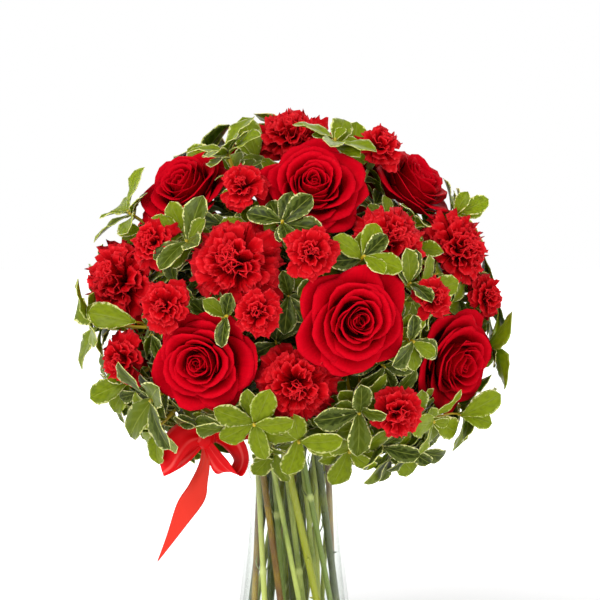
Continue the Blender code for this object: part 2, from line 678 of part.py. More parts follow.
def make_foliage(name, slot, solids, group):
    """A branch of variegated greenery: a woody stem, its shoots and the whorl of leaves on each."""
    lean, low, high = BRANCHES[name]
    top_way = facing(lean, BRANCH_LIFT)
    top = HEART + top_way * BRANCH_REACH
    points, radii = straight_part(slot, WOODY_STEM)
    ways, line, good = clear_route(solids, points[-1], heading_of(slot), top, top_way, WOODY_STEM,
                                   STEM_SHARES)
    if not good:
        print("branch not clear:", name)
    points += line
    radii += [WOODY_STEM] * (len(line) - 1) + [SHOOT]
    pieces = [tube(points, radii)]
    own = Clearance()
    for number, (turn, lift, reach, length, count, pointed) in enumerate(WHORLS):
        if not low < turn <= high:
            continue
        axis = facing(turn, max(lift, -32))
        tip = HEART + facing(turn, lift) * reach
        for share in (0.5, 0.7, 0.3, 0.85, 0.15, 0.05):
            start = bezier(*ways, share)
            along = (bezier(*ways, share + 0.05) - start).normalized()
            heading = (along + (tip - start).normalized()).normalized()
            _, line, good = clear_route(solids, start, heading, tip, axis, SHOOT, SHOOT_SHARES)
            if good:
                break
        if not good:
            print("shoot not clear:", name, number)
            continue
        end = (line[-1] - line[-2]).normalized()
        pieces.append(tube([start - heading * ROOT_DEPTH, *line[:-1], tip + end * LEAF_STEP],
                           [SHOOT] * (len(line) + 1)))
        for leaf in range(count):
            for along, up, long, roll in leaf_choices(number, leaf, count, tip, axis, length):
                surface = leaf_surface(tip - end * LEAF_STEP * leaf, along, up, long, roll)
                edge = POINTED_EDGE if pointed else LEAF_EDGE
                bm = blade(edge, surface, LEAF, middle=0.5)
                outer_edge = tuple((a, 0.14 + 0.86 * v, w) for a, v, w in edge)
                outer = blade(outer_edge, surface, LEAF, middle=0.6)
                if solids.free(bm) and own.free(outer):
                    own.trees["%d_%d" % (number, leaf)] = BVHTree.FromBMesh(outer)
                    pieces.append(mesh_of(bm))
                    outer.free()
                    break
                bm.free()
                outer.free()
    return fuse(name, pieces, "variegated_leaf", group)


def strip(stations):
    """A length of ribbon through the stations, each a middle point and half its width as a vector."""
    bm = bmesh.new()
    bmesh.ops.create_grid(bm, x_segments=len(stations) - 1, y_segments=1, size=1.0)
    ordered = sorted(bm.verts, key=lambda v: (round(v.co.x, 5), v.co.y))
    for i, (middle, half) in enumerate(stations):
        ordered[2 * i].co = middle - half
        ordered[2 * i + 1].co = middle + half
    bmesh.ops.triangulate(bm, faces=bm.faces)
    mesh = bpy.data.meshes.new("strip")
    bm.to_mesh(mesh)
    bm.free()
    holder = bpy.data.objects.new("strip", mesh)
    bpy.context.scene.collection.objects.link(holder)
    thick = holder.modifiers.new("Solidify", "SOLIDIFY")
    thick.thickness = RIBBON
    thick.offset = 0.0
    graph = bpy.context.evaluated_depsgraph_get()
    made = bpy.data.meshes.new_from_object(holder.evaluated_get(graph))
    bpy.data.objects.remove(holder)
    bm = bmesh.new()
    bm.from_mesh(made)
    return mesh_of(bm)


def make_ribbon(group):
    """The satin ribbon: the band round the bunch, the knot, two loops and a long cut tail."""
    middle = (BAND_LOW + BAND_HIGH) / 2
    tall = Vector((0, 0, (BAND_HIGH - BAND_LOW) / 2))
    bearing = math.atan2(KNOT.y, KNOT.x)
    reach = math.hypot(KNOT.x, KNOT.y)
    opening = math.acos(BAND_RADIUS / reach)
    at_knot = Vector((KNOT.x, KNOT.y, middle))
    arc = []
    for i in range(ARC_STEPS + 1):
        angle = bearing + opening + (2 * math.pi - 2 * opening) * i / ARC_STEPS
        arc.append(Vector((BAND_RADIUS * math.cos(angle), BAND_RADIUS * math.sin(angle), middle)))
    sideways = Vector((-math.sin(bearing), math.cos(bearing), 0)) * 0.003
    band = strip([(p, tall) for p in [at_knot + sideways, *arc, at_knot - sideways]])
    knot = ball(KNOT, KNOT_RADII, sides=8, rings=4)

    def run(rows):
        return strip([(Vector(middle_mm) * 0.001, Vector(way).normalized() * half * 0.001)
                      for middle_mm, way, half in rows])

    left = run([((-70, -47, 210), (-0.1, 0.2, 1.0), 5), ((-81, -53, 211), (-0.1, 0.1, 1.0), 11.5),
                ((-91, -56, 204), (-0.3, 0.1, 0.95), 13), ((-99, -54, 193), (-0.45, 0.1, 0.85), 12),
                ((-104, -49, 185), (-0.3, 0.0, 0.95), 8), ((-98, -44, 188), (-0.3, 0.0, 0.95), 9),
                ((-86, -42, 196), (-0.3, 0.1, 0.9), 9.5), ((-71, -45, 206), (-0.2, 0.2, 0.9), 5)])
    right = run([((-69, -47, 210), (0.1, -0.6, 0.8), 5), ((-57, -50, 211), (0.2, -0.5, 0.85), 10),
                 ((-46, -52, 203), (0.45, -0.6, 0.6), 11), ((-41, -52, 191), (0.6, -0.75, 0.2), 10),
                 ((-46, -52, 181), (0.5, -0.75, -0.2), 9.5), ((-57, -53, 186), (0.5, -0.5, 0.65), 9),
                 ((-69, -49, 204), (0.4, -0.5, 0.75), 5)])
    tail = run([((-69, -45, 203), (0.5, -0.8, 0.1), 5), ((-70, -43, 187), (0.6, -0.75, 0.1), 7),
                ((-75, -42, 171), (0.9, -0.4, 0.2), 8.5), ((-81, -43, 156), (0.97, -0.1, 0.1), 11),
                ((-92, -45, 134), (0.85, -0.1, 0.45), 9), ((-106.5, -47, 110), (0.7, 0.0, 0.6), 1.0)])
    return fuse("ribbon", [knot, band, left, right, tail], "satin_ribbon", group)


def make_water(plan, thickness_of, group, cutters):
    """The water: the vase's inside up to its level, with a plain hole for each stem."""
    heights = [WATER_LEVEL, 0.173, WAIST_HEIGHT, 0.105, 0.055, BELLY_HEIGHT + 0.002]
    profile = [(0.0, WATER_LEVEL)]
    profile += [(glass_radius(z) - GLASS - GAP, z) for z in heights]
    floor = BASE_GLASS + GAP
    profile += [(FOOT_RADIUS - GLASS - GAP, floor), (0.0, floor)]
    water = place("water", turned_mesh(profile), "water", group)
    low, high = floor - 0.004, WATER_LEVEL + 0.004
    for name, slot in plan.items():
        bm = bmesh.new()
        bmesh.ops.create_cone(bm, cap_ends=True, segments=HOLE_SIDES, radius1=1.0, radius2=1.0, depth=2.0)
        wide = (thickness_of(name) + HOLE_ROOM) / math.cos(math.pi / HOLE_SIDES)
        for vertex in bm.verts:
            top = vertex.co.z > 0
            at = line_of(*slot, high if top else low)
            vertex.co = at + Vector((vertex.co.x * wide, vertex.co.y * wide, 0))
        cutter = bpy.data.objects.new(name + "_hole", mesh_of(bm))
        cutter.hide_render = True
        cutter.display_type = "WIRE"
        cutters.objects.link(cutter)
    cut = water.modifiers.new("Holes", "BOOLEAN")
    cut.operation = "DIFFERENCE"
    cut.operand_type = "COLLECTION"
    cut.collection = cutters
    cut.solver = "EXACT"
    return water


def thickest(name):
    """The greatest radius of a stem where it stands in water."""
    if name.startswith("rose"):
        return ROSE_STEM
    return JOINT_SWELL if name.startswith("carnation") else WOODY_STEM


def main():
    for old in list(bpy.data.objects):
        bpy.data.objects.remove(old)
    scene = bpy.context.scene
    group = bpy.data.collections.new("vase_of_roses_and_carnations")
    cutters = bpy.data.collections.new("cutters")
    scene.collection.children.link(group)
    scene.collection.children.link(cutters)
    plan = stem_plan()
    solids = Clearance()
    solids.add(make_vase(group))
    make_water(plan, thickest, group, cutters)
    solids.add(make_ribbon(group))
    for name in BLOOMS:
        solids.add(make_bloom(name, group))
    for name in BLOOMS:
        if not name.startswith("spray"):
            solids.add(make_flower_stem(name, plan[name], solids, group))
    for name in SPRAYS:
        solids.add(make_spray_stem(name, plan[name], solids, group))
    for name in BRANCHES:
        solids.add(make_foliage(name, plan[name], solids, group))


main()
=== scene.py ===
import math
import random

import bpy
import numpy as np
from mathutils import Matrix, Vector
from mathutils.bvhtree import BVHTree
from mathutils.kdtree import KDTree


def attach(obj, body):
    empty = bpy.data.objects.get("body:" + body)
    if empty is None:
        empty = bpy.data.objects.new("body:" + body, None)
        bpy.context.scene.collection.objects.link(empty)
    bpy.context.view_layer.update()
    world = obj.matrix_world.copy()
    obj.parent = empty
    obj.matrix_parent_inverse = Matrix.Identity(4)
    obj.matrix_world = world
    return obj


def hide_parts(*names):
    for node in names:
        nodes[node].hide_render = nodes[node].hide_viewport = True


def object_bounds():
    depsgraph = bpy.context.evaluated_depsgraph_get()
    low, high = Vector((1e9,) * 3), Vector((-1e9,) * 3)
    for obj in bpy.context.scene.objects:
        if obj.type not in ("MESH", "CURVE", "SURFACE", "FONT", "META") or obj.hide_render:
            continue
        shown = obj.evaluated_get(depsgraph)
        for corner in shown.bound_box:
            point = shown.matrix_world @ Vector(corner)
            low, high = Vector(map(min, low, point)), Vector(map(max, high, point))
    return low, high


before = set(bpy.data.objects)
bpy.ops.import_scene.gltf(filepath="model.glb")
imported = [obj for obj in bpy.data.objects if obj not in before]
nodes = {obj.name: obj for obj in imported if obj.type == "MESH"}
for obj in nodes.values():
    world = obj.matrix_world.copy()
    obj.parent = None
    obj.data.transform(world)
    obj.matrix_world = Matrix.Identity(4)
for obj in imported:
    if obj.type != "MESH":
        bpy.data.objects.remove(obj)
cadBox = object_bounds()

# A glass vase of red roses, carnations and spray carnations with variegated greenery and a satin bow.
# Metres, +Z up, the front faces -Y. Every place below is the one that the solids have.

print("frame:", len(nodes), "solids")

vase = {"height": 0.200, "footRadius": 0.0465, "bellyRadius": 0.0520, "bellyHeight": 0.011,
        "waistRadius": 0.0376, "waistHeight": 0.155, "lipRadius": 0.0530, "bodyCurve": 1.5,
        "flareCurve": 2.2, "wall": 0.0028, "base": 0.009, "waterLevel": 0.183, "gap": 0.0004}

dome = {"heart": Vector((0.0, 0.0, 0.297)), "lowestLift": -14,
        "seatDepth": {"rose": 0.66, "carnation": 0.60, "spray": 0.55},
        "calyx": {"rose": (0.009, 0.0052), "carnation": (0.020, 0.0050), "spray": (0.014, 0.0036)}}

bunch = {"rings": {"outer": 0.0288, "middle": 0.0175, "inner": 0.0075}, "twist": -7.4, "turnAtMouth": -36,
         "foot": 0.0102, "mouth": 0.216, "rose": 0.0030, "carnation": 0.0023, "joint": 0.0031,
         "jointEvery": 0.095, "spray": 0.0021, "woody": 0.0026, "shoot": 0.0014,
         "stemShares": (0.3, 0.65, 1.0), "shootShares": (0.55, 1.0)}

# name: (turn from the front and lift in degrees, reach from the heart, head radius, lean, spin)
blooms = {
    "rose_1": (-70, 49, 0.140, 0.036, 0.60, 10),
    "rose_2": (10, 49, 0.141, 0.040, 0.60, 75),
    "rose_3": (88, 49, 0.146, 0.037, 0.30, 20),
    "rose_4": (-29, -10, 0.141, 0.039, 0.55, 130),
    "rose_5": (18, 4, 0.147, 0.041, 0.50, 40),
    "rose_6": (67, -12, 0.141, 0.038, 0.60, 200),
    "rose_7": (-128, 26, 0.140, 0.039, -0.40, 60),
    "rose_8": (178, 46, 0.140, 0.040, -0.40, 15),
    "rose_9": (128, 14, 0.140, 0.039, -0.40, 90),
    "rose_10": (-166, -8, 0.140, 0.040, -0.40, 150),
    "carnation_1": (180, 85, 0.147, 0.031, 0.60, 0),
    "carnation_2": (-77, 13, 0.144, 0.036, 0.50, 30),
    "carnation_3": (-19, 21, 0.141, 0.035, 0.50, 60),
    "carnation_4": (1, -17, 0.134, 0.030, 0.50, 15),
    "carnation_5": (37, 28, 0.140, 0.032, 0.50, 45),
    "carnation_6": (79, 23, 0.144, 0.031, 0.50, 80),
    "carnation_7": (167, 12, 0.140, 0.034, -0.40, 25),
    "carnation_8": (-118, -12, 0.138, 0.033, -0.30, 50),
    "carnation_9": (132, 54, 0.140, 0.033, -0.40, 70),
    "spray_1": (-21, 45, 0.151, 0.018, 0.60, 0),
    "spray_2": (-50, 25, 0.152, 0.019, 0.60, 20),
    "spray_3": (-37, 7, 0.158, 0.019, 0.60, 40),
    "spray_4": (-62, -10, 0.150, 0.020, 0.60, 60),
    "spray_5": (5, 22, 0.158, 0.019, 0.60, 10),
    "spray_6": (-10, 6, 0.152, 0.017, 0.60, 35),
    "spray_7": (44, 9, 0.152, 0.018, 0.60, 55),
    "spray_8": (82, 7, 0.154, 0.019, 0.60, 5),
    "spray_9": (34, -24, 0.151, 0.020, 0.60, 25),
    "spray_10": (62, 61, 0.156, 0.019, 0.60, 45),
    "spray_11": (-152, 60, 0.156, 0.019, -0.40, 15),
    "spray_12": (108, -14, 0.150, 0.019, -0.30, 30),
}

# Leaf whorls: (turn, lift, reach of the shoot's tip, leaf length, leaves, pointed)
whorls = (
    (-13, -28, 0.147, 0.034, 5, False), (2, -36, 0.142, 0.033, 5, False), (24, -42, 0.140, 0.036, 4, False),
    (22, -25, 0.144, 0.038, 4, False), (50, -44, 0.139, 0.036, 4, False), (57, -30, 0.148, 0.037, 4, False),
    (80, -27, 0.156, 0.037, 4, False), (84, -8, 0.160, 0.042, 4, True), (-60, -33, 0.144, 0.037, 4, False),
    (-52, -22, 0.149, 0.042, 4, False), (-72, 0, 0.164, 0.041, 4, False), (-84, -20, 0.154, 0.034, 4, False),
    (-84, -38, 0.144, 0.036, 4, False), (-79, 33, 0.158, 0.038, 4, False), (-44, 61, 0.154, 0.038, 4, False),
    (30, 66, 0.156, 0.038, 4, False), (97, 33, 0.156, 0.034, 4, False), (99, 3, 0.156, 0.044, 4, True),
    (22, 22, 0.150, 0.029, 4, False), (-38, 27, 0.146, 0.036, 4, False), (-4, 34, 0.146, 0.029, 3, False),
    (37, -3, 0.148, 0.031, 3, False), (-20, 5, 0.144, 0.027, 3, False), (38, 14, 0.145, 0.030, 3, False),
    (180, -32, 0.146, 0.040, 4, False), (150, -30, 0.146, 0.040, 4, False),
    (-146, -30, 0.146, 0.040, 4, False), (116, -34, 0.146, 0.040, 3, False),
    (-112, -36, 0.146, 0.040, 3, False), (-146, 8, 0.152, 0.038, 4, False),
    (150, -8, 0.152, 0.038, 4, False), (-172, 18, 0.150, 0.040, 4, False), (150, 34, 0.152, 0.038, 4, False),
    (-100, 8, 0.156, 0.040, 4, False), (-178, 70, 0.152, 0.040, 4, False),
    (-118, 56, 0.152, 0.040, 4, False),
)

leafForm = {"width": 0.54, "tries": 26, "bend": 0.5, "fold": 0.22, "step": 0.0017, "tilt": 66, "wave": 0.045,
            "fine": (11, 9), "middle": (9, 7), "coarse": (6, 5), "thickness": 0.0005}

# Points of a leaf's edge that its solid has, used to find which way the leaf grew
leafMarks = {False: ((1.0, 0.68, -0.8), (0.42, 1.0, 0.7), (-0.40, 0.97, -0.7)),
             True: ((1.0, 0.50, -0.4), (0, 1.04, 0.3), (-0.98, 0.46, -0.4))}

# Each branch: the turn it leans to, and the turns between which its whorls lie
branches = {"foliage_front_left": (-62, -92, -2), "foliage_front_right": (48, -2, 100),
            "foliage_back_right": (128, 100, 180), "foliage_back_left": (-140, -180, -92)}
branchTop = {"reach": 0.075, "lift": 22}

# Each spray stem: its ring, the turn, lift and reach of its top, and its blooms
sprays = {"spray_stem_left": ("outer", -42, 8, 0.085, (2, 3, 4, 6)),
          "spray_stem_right": ("outer", 66, -2, 0.085, (7, 8, 9, 12)),
          "spray_stem_top": ("middle", 8, 60, 0.070, (1, 5, 10, 11))}
innerStems = ("rose_1", "rose_2", "carnation_9", "carnation_1")
middleStems = ("rose_7", "carnation_2", "carnation_3", "carnation_5", "carnation_6", "rose_3", "rose_8")

anyPhase = (0, 6.3)  # a random start for a wave
millimetre = 0.001
metre = 1000  # in millimetres
golden = math.pi * (3 - math.sqrt(5))


def facing(turn, lift):
    a, b = math.radians(turn), math.radians(lift)
    return Vector((math.sin(a) * math.cos(b), -math.cos(a) * math.cos(b), math.sin(b)))


def squareAxes(axis):
    level = Vector((0, 0, 1)).cross(axis)
    level = level.normalized() if level.length > 1e-4 else Vector((1, 0, 0))
    return level, axis.cross(level).normalized()


def outward(level, rest, angle):
    return level * math.cos(angle) + rest * math.sin(angle)


def bezier(a, b, c, d, t):
    s = 1 - t
    return a * (s * s * s) + b * (3 * s * s * t) + c * (3 * s * t * t) + d * (t * t * t)


def pointsOn(route, count):
    return [bezier(*route, t) for t in np.linspace(0, 1, count)]


# Shader maths: a socket that can be added, multiplied and so on, and a board that makes the nodes

class Value:
    def __init__(self, board, socket):
        self.board = board
        self.socket = socket

    def maths(self, operation, first, second=0.0):
        return self.board.node("ShaderNodeMath", {"operation": operation}, {0: first, 1: second})

    def __add__(self, other):
        return self.maths("ADD", self, other)

    def __radd__(self, other):
        return self.maths("ADD", other, self)

    def __sub__(self, other):
        return self.maths("SUBTRACT", self, other)

    def __rsub__(self, other):
        return self.maths("SUBTRACT", other, self)

    def __mul__(self, other):
        return self.maths("MULTIPLY", self, other)

    def __rmul__(self, other):
        return self.maths("MULTIPLY", other, self)

    def __pow__(self, other):
        return self.maths("POWER", self, other)

    def __abs__(self):
        return self.maths("ABSOLUTE", self)

    def sine(self):
        return self.maths("SINE", self)

    def between(self, low, high):  # 0 below low, 1 above high, smooth in between
        settings = {"interpolation_type": "SMOOTHSTEP"}
        sockets = {"Value": self, "From Min": low, "From Max": high}
        return self.board.node("ShaderNodeMapRange", settings, sockets)


class Board:  # makes and joins the nodes of a material or of the world
    def __init__(self, owner, shader="Principled BSDF"):
        owner.use_nodes = True
        self.owner = owner
        self.tree = owner.node_tree
        self.shader = self.tree.nodes[shader]

    def connect(self, socket, value):
        if isinstance(value, Value):
            self.tree.links.new(value.socket, socket)
        elif socket.type == "RGBA" and len(value) == 3:
            socket.default_value = (*value, 1.0)
        else:
            socket.default_value = value

    def node(self, kind, settings=None, sockets=None, out=0):
        made = self.tree.nodes.new(kind)
        for key, value in (settings or {}).items():
            setattr(made, key, value)
        for key, value in (sockets or {}).items():
            self.connect(made.inputs[key], value)
        return Value(self, made.outputs[out])

    def grown(self, name):  # a number that the mesh carries at each point
        return self.node("ShaderNodeAttribute", {"attribute_name": name}, out="Fac")

    def noise(self, scale, detail, place=None):
        place = place or self.node("ShaderNodeTexCoord", out="Object")
        return self.node("ShaderNodeTexNoise", None, {"Scale": scale, "Detail": detail, "Vector": place})

    def vector(self, x, y, z=0.0):
        return self.node("ShaderNodeCombineXYZ", None, {0: x, 1: y, 2: z})

    def blend(self, share, low, high):
        return self.node("ShaderNodeMix", {"data_type": "RGBA"}, {"Factor": share, 6: low, 7: high}, out=2)

    def bump(self, height, strength, distance):
        sockets = {"Height": height, "Strength": strength, "Distance": distance}
        return self.node("ShaderNodeBump", None, sockets)

    def finish(self, **sockets):
        for key, value in sockets.items():
            self.connect(self.shader.inputs[key.replace("_", " ")], value)
        return self.owner


def skin(name):  # a new material
    return Board(bpy.data.materials.new(name))


petalColours = {
    # deep is painted shade at a petal's root, which darker fibre streaks also take; edge is a painted
    # highlight at the rim, where bright painted glints are scattered
    "rose": {"deep": (0.060, 0.0001, 0.0012), "face": (0.480, 0.0002, 0.0065),
             "edge": (0.680, 0.0040, 0.0160), "rough": 0.50, "veins": 0.16, "gloss": 0.012, "paintedGlints": 0.25},
    "carnation": {"deep": (0.120, 0.0001, 0.0010), "face": (0.520, 0.0006, 0.0045),
                  "edge": (0.860, 0.0300, 0.0400), "rough": 0.60, "veins": 0.22, "gloss": 0.05,
                  "paintedGlints": 0.65},
}
petalGrain = {"fibres": 26.0, "fibreLength": 2.2, "apart": 40.0, "cloud": 60.0, "cloudShare": 0.25,
              "toneShare": 0.35, "depth": (0.05, 0.85), "paintedGlint": 420.0, "paintedGlintRange": (0.50, 0.68),
              "rim": (0.84, 1.0), "rimWaver": 0.10, "rimHighlight": 0.35, "streakFrom": 0.35, "streaks": 0.22,
              "relief": 0.0006, "roughSpread": 0.15, "sheen": 0.01, "sheenTint": (1.0, 0.10, 0.12)}


def petalFinish(kind):  # painted shade darkens it towards the root, a painted highlight lightens the rim with brighter painted glints, and fine darker fibres run along it
    choice, grain = petalColours[kind], petalGrain
    board = skin(kind + "_petal_velvet")
    along, across, tone = board.grown("along"), board.grown("across"), board.grown("tone")
    place = board.vector(across * grain["fibres"] + tone * grain["apart"], along * grain["fibreLength"])
    fibre = board.noise(1.0, 2.0, place)
    cloud = board.noise(grain["cloud"], 2.0)
    # painted shade: the deep colour darkens each petal towards its root
    depth = along + (cloud - 0.5) * grain["cloudShare"] + (tone - 0.5) * grain["toneShare"]
    colour = board.blend(depth.between(*grain["depth"]), choice["deep"], choice["face"])
    # painted highlight: the edge colour lightens the rim, with brighter painted glints scattered on it
    paintedGlint = board.noise(grain["paintedGlint"], 1.0).between(*grain["paintedGlintRange"])
    rim = (along + (fibre - 0.5) * grain["rimWaver"]).between(*grain["rim"])
    colour = board.blend(rim * (grain["rimHighlight"] + paintedGlint * choice["paintedGlints"]), colour, choice["edge"])
    streak = (fibre - grain["streakFrom"]).between(0.0, 0.5)
    colour = board.blend(streak * grain["streaks"], colour, choice["deep"])
    return board.finish(Base_Color=colour, Roughness=choice["rough"] + (fibre - 0.5) * grain["roughSpread"],
                        Normal=board.bump(fibre, choice["veins"], grain["relief"]),
                        Sheen_Weight=grain["sheen"], Sheen_Tint=grain["sheenTint"],
                        Specular_IOR_Level=choice["gloss"])


leafColours = {"dark": (0.017, 0.027, 0.001), "mid": (0.050, 0.074, 0.001), "young": (0.195, 0.250, 0.005),
               "grey": (0.110, 0.140, 0.026), "cream": (0.800, 0.790, 0.350), "rib": (0.220, 0.260, 0.035)}
leafSkin = {"patch": 2.2, "streak": 7.0, "patchSize": (1.6, 3.2), "apart": (31.0, 17.0),
            "young": (0.15, 0.85), "patchRange": (0.35, 0.75), "patchShare": 0.45,
            "inner": (0.45, 0.60), "innerWaver": 0.9, "innerTone": (0.9, 0.2), "innerShare": 0.65,
            "strokeSize": (1.5, 17.0, 9.0), "strokeShare": 0.65,
            "tip": (0.80, 1.0), "tipShare": 0.20, "streakShare": 0.3, "margin": (0.86, 1.0),
            "veins": 26.0, "veinSlant": 9.0, "veinShare": 0.16, "rib": (0.015, 0.07), "ribShare": 0.6,
            "relief": (0.8, 0.25, 0.2), "bump": 0.35, "depth": 0.0008, "rough": 0.32, "roughSpread": 0.2,
            "gloss": 0.07, "glow": 0.5, "glowReach": (0.8, 1.0, 0.15), "glowScale": 0.002}


def leafFinish():
    board = skin("variegated_leaf_wax")
    along, across, tone = board.grown("along"), board.grown("across"), board.grown("tone")
    side = abs(across)
    wide, long = leafSkin["patchSize"]
    apart, apartLong = leafSkin["apart"]
    place = board.vector(across * wide + tone * apart, along * long + tone * apartLong)
    patch = board.noise(leafSkin["patch"], 3.0, place)
    streak = board.noise(leafSkin["streak"], 2.0, place)
    green = board.blend(tone.between(*leafSkin["young"]), leafColours["dark"], leafColours["young"])
    mid = patch.between(*leafSkin["patchRange"]) * leafSkin["patchShare"]
    green = board.blend(mid, green, leafColours["mid"])
    # An irregular band of grey green lies between the green middle and the cream margin; it is variegation
    # and also a pale painted sheen
    inner = (side + (patch - 0.5) * leafSkin["innerWaver"]).between(*leafSkin["inner"])
    inner = inner * tone.between(*leafSkin["innerTone"]) * leafSkin["innerShare"]
    green = board.blend(inner, green, leafColours["grey"])
    wide, long, apartTone = leafSkin["strokeSize"]
    place = board.vector(across * wide + tone * apart, along * long, tone * apartTone)
    strokes = board.noise(1.0, 2.0, place)
    edge = side + along.between(*leafSkin["tip"]) * leafSkin["tipShare"]
    edge = edge + (strokes - 0.5) * leafSkin["strokeShare"] + (streak - 0.5) * leafSkin["streakShare"]
    margin = edge.between(*leafSkin["margin"])
    colour = board.blend(margin * board.grown("cream"), green, leafColours["cream"])
    veins = ((along * leafSkin["veins"] - side * leafSkin["veinSlant"]).sine() * 0.5 + 0.5) ** 3.0
    colour = board.blend(veins * leafSkin["veinShare"], colour, leafColours["rib"])
    rib = 1.0 - side.between(*leafSkin["rib"])
    colour = board.blend(rib * leafSkin["ribShare"], colour, leafColours["rib"])
    ribHeight, veinDepth, streakHeight = leafSkin["relief"]
    height = rib * ribHeight - veins * veinDepth + streak * streakHeight
    rough = leafSkin["rough"] + (patch - 0.5) * leafSkin["roughSpread"]
    return board.finish(Base_Color=colour, Roughness=rough,
                        Normal=board.bump(height, leafSkin["bump"], leafSkin["depth"]),
                        Specular_IOR_Level=leafSkin["gloss"], Subsurface_Weight=leafSkin["glow"],
                        Subsurface_Radius=leafSkin["glowReach"], Subsurface_Scale=leafSkin["glowScale"])


stemColours = {
    "rose": {"low": (0.058, 0.082, 0.003), "high": (0.320, 0.345, 0.010), "rough": 0.34},
    "carnation": {"low": (0.180, 0.250, 0.036), "high": (0.560, 0.625, 0.140), "rough": 0.42,
                  "joint": (0.640, 0.700, 0.230)},
    "woody": {"low": (0.130, 0.048, 0.003), "high": (0.500, 0.355, 0.006), "rough": 0.45},
    "calyx": {"low": (0.110, 0.150, 0.025), "high": (0.240, 0.300, 0.065), "rough": 0.45},
}
stemGrain = {"coarse": 38.0, "fibres": 9.0, "fibreLength": 260.0, "apart": 20.0, "toneShare": 1.3,
             "fineShare": 0.4, "range": (0.2, 0.8), "swelling": (0.04, 0.30), "jointShare": 0.8,
             "bump": 0.25, "depth": 0.0004, "roughSpread": 0.2}


def stemFinish(kind):  # the cream mark tells where a stem swells at a joint
    choice, grain = stemColours[kind], stemGrain
    board = skin(kind + "_stem_skin")
    along, tone = board.grown("along"), board.grown("tone")
    coarse = board.noise(grain["coarse"], 3.0)
    across = board.grown("across") * grain["fibres"]
    place = board.vector(across, along * grain["fibreLength"], tone * grain["apart"])
    fine = board.noise(1.0, 3.0, place)
    share = coarse + (tone - 0.5) * grain["toneShare"] + (fine - 0.5) * grain["fineShare"]
    colour = board.blend(share.between(*grain["range"]), choice["low"], choice["high"])
    if "joint" in choice:
        joint = board.grown("cream").between(*grain["swelling"]) * grain["jointShare"]
        colour = board.blend(joint, colour, choice["joint"])
    return board.finish(Base_Color=colour, Roughness=choice["rough"] + (fine - 0.5) * grain["roughSpread"],
                        Normal=board.bump(fine, grain["bump"], grain["depth"]))


# the shine colour is a painted highlight for the satin's streaks
ribbonColours = {"base": (0.660, 0.0006, 0.0030), "light": (0.800, 0.0030, 0.0060),
                 "tail": (0.690, 0.0340, 0.0190), "paintedShine": (0.920, 0.1500, 0.1300)}
ribbonWeave = {"threads": 210.0, "threadHeight": 0.3, "drift": (1.4, 40.0), "driftRange": (0.3, 0.7),
               "selvedge": (0.90, 0.97), "tailTone": (0.32, 0.48), "paintedShine": (1.9, 13.0, 11.0),
               "paintedShineRange": (0.54, 0.70), "bump": 0.12, "depth": 0.0003, "rough": 0.34, "roughSpread": 0.12,
               "gloss": 0.10, "stretch": 0.4}


def ribbonFinish():  # satin: threads along it, firm edges, a lighter tail and soft streaks of painted highlight
    weave = ribbonWeave
    board = skin("satin_ribbon_weave")
    along, across, tone = board.grown("along"), board.grown("across"), board.grown("tone")
    threads = (across * weave["threads"]).sine() * 0.5 + 0.5
    drift = board.noise(1.0, 2.0, board.vector(across * weave["drift"][0], along * weave["drift"][1]))
    selvedge = abs(across).between(*weave["selvedge"])
    bow = tone.between(*weave["tailTone"])
    colour = board.blend(drift.between(*weave["driftRange"]), ribbonColours["base"], ribbonColours["light"])
    colour = board.blend(selvedge * 0.5, colour, ribbonColours["light"])
    colour = board.blend(1.0 - bow, colour, ribbonColours["tail"])
    wide, apart, long = weave["paintedShine"]
    # painted highlight: pinkish streaks on the bow, band and knot, none on the tail
    paintedShine = board.noise(1.0, 1.0, board.vector(across * wide + tone * apart, along * long))
    colour = board.blend(paintedShine.between(*weave["paintedShineRange"]) * bow * 0.5, colour, ribbonColours["paintedShine"])
    normal = board.bump(threads * weave["threadHeight"] + selvedge, weave["bump"], weave["depth"])
    rough = weave["rough"] + drift * weave["roughSpread"]
    return board.finish(Base_Color=colour, Roughness=rough, Normal=normal,
                        Specular_IOR_Level=weave["gloss"], Anisotropic=weave["stretch"])


# Clear things: the gloss's colour and roughness, the tint, and how the gloss grows from face to edge
clearForms = {"clear_vase_glass": {"gloss": (0.50, 0.53, 0.51), "rough": 0.03, "tint": (0.990, 0.996, 0.990),
                                   "power": 3.0, "edge": 0.70, "face": 0.004},
              "vase_water": {"gloss": (0.70, 0.74, 0.70), "rough": 0.02, "tint": (0.985, 0.992, 0.980),
                             "power": 4.0, "edge": 0.30, "face": 0.002}}


def clearFinish(name):
    choice = clearForms[name]
    board = skin(name)
    board.finish(Base_Color=choice["gloss"], Metallic=1.0, Roughness=choice["rough"])
    aside = board.node("ShaderNodeLayerWeight", None, {"Blend": 0.5}, out="Facing")
    share = aside ** choice["power"] * choice["edge"] + choice["face"]
    clear = board.node("ShaderNodeBsdfTransparent", None, {"Color": choice["tint"]})
    gloss = Value(board, board.shader.outputs[0])
    mixed = board.node("ShaderNodeMixShader", None, {0: share, 1: clear, 2: gloss})
    board.connect(board.tree.nodes["Material Output"].inputs["Surface"], mixed)
    return board.owner


# glow, near and far set the floor's painted light, from near the vase to far from it
floorForm = {"size": 12.0, "drop": 0.0002, "grain": 300.0, "dark": (0.90, 0.90, 0.90),
             "light": (0.93, 0.93, 0.93), "rough": 0.85, "glow": (0.15, 1.1), "near": (0.12, 0.12, 0.12),
             "far": (0.85, 0.85, 0.85)}


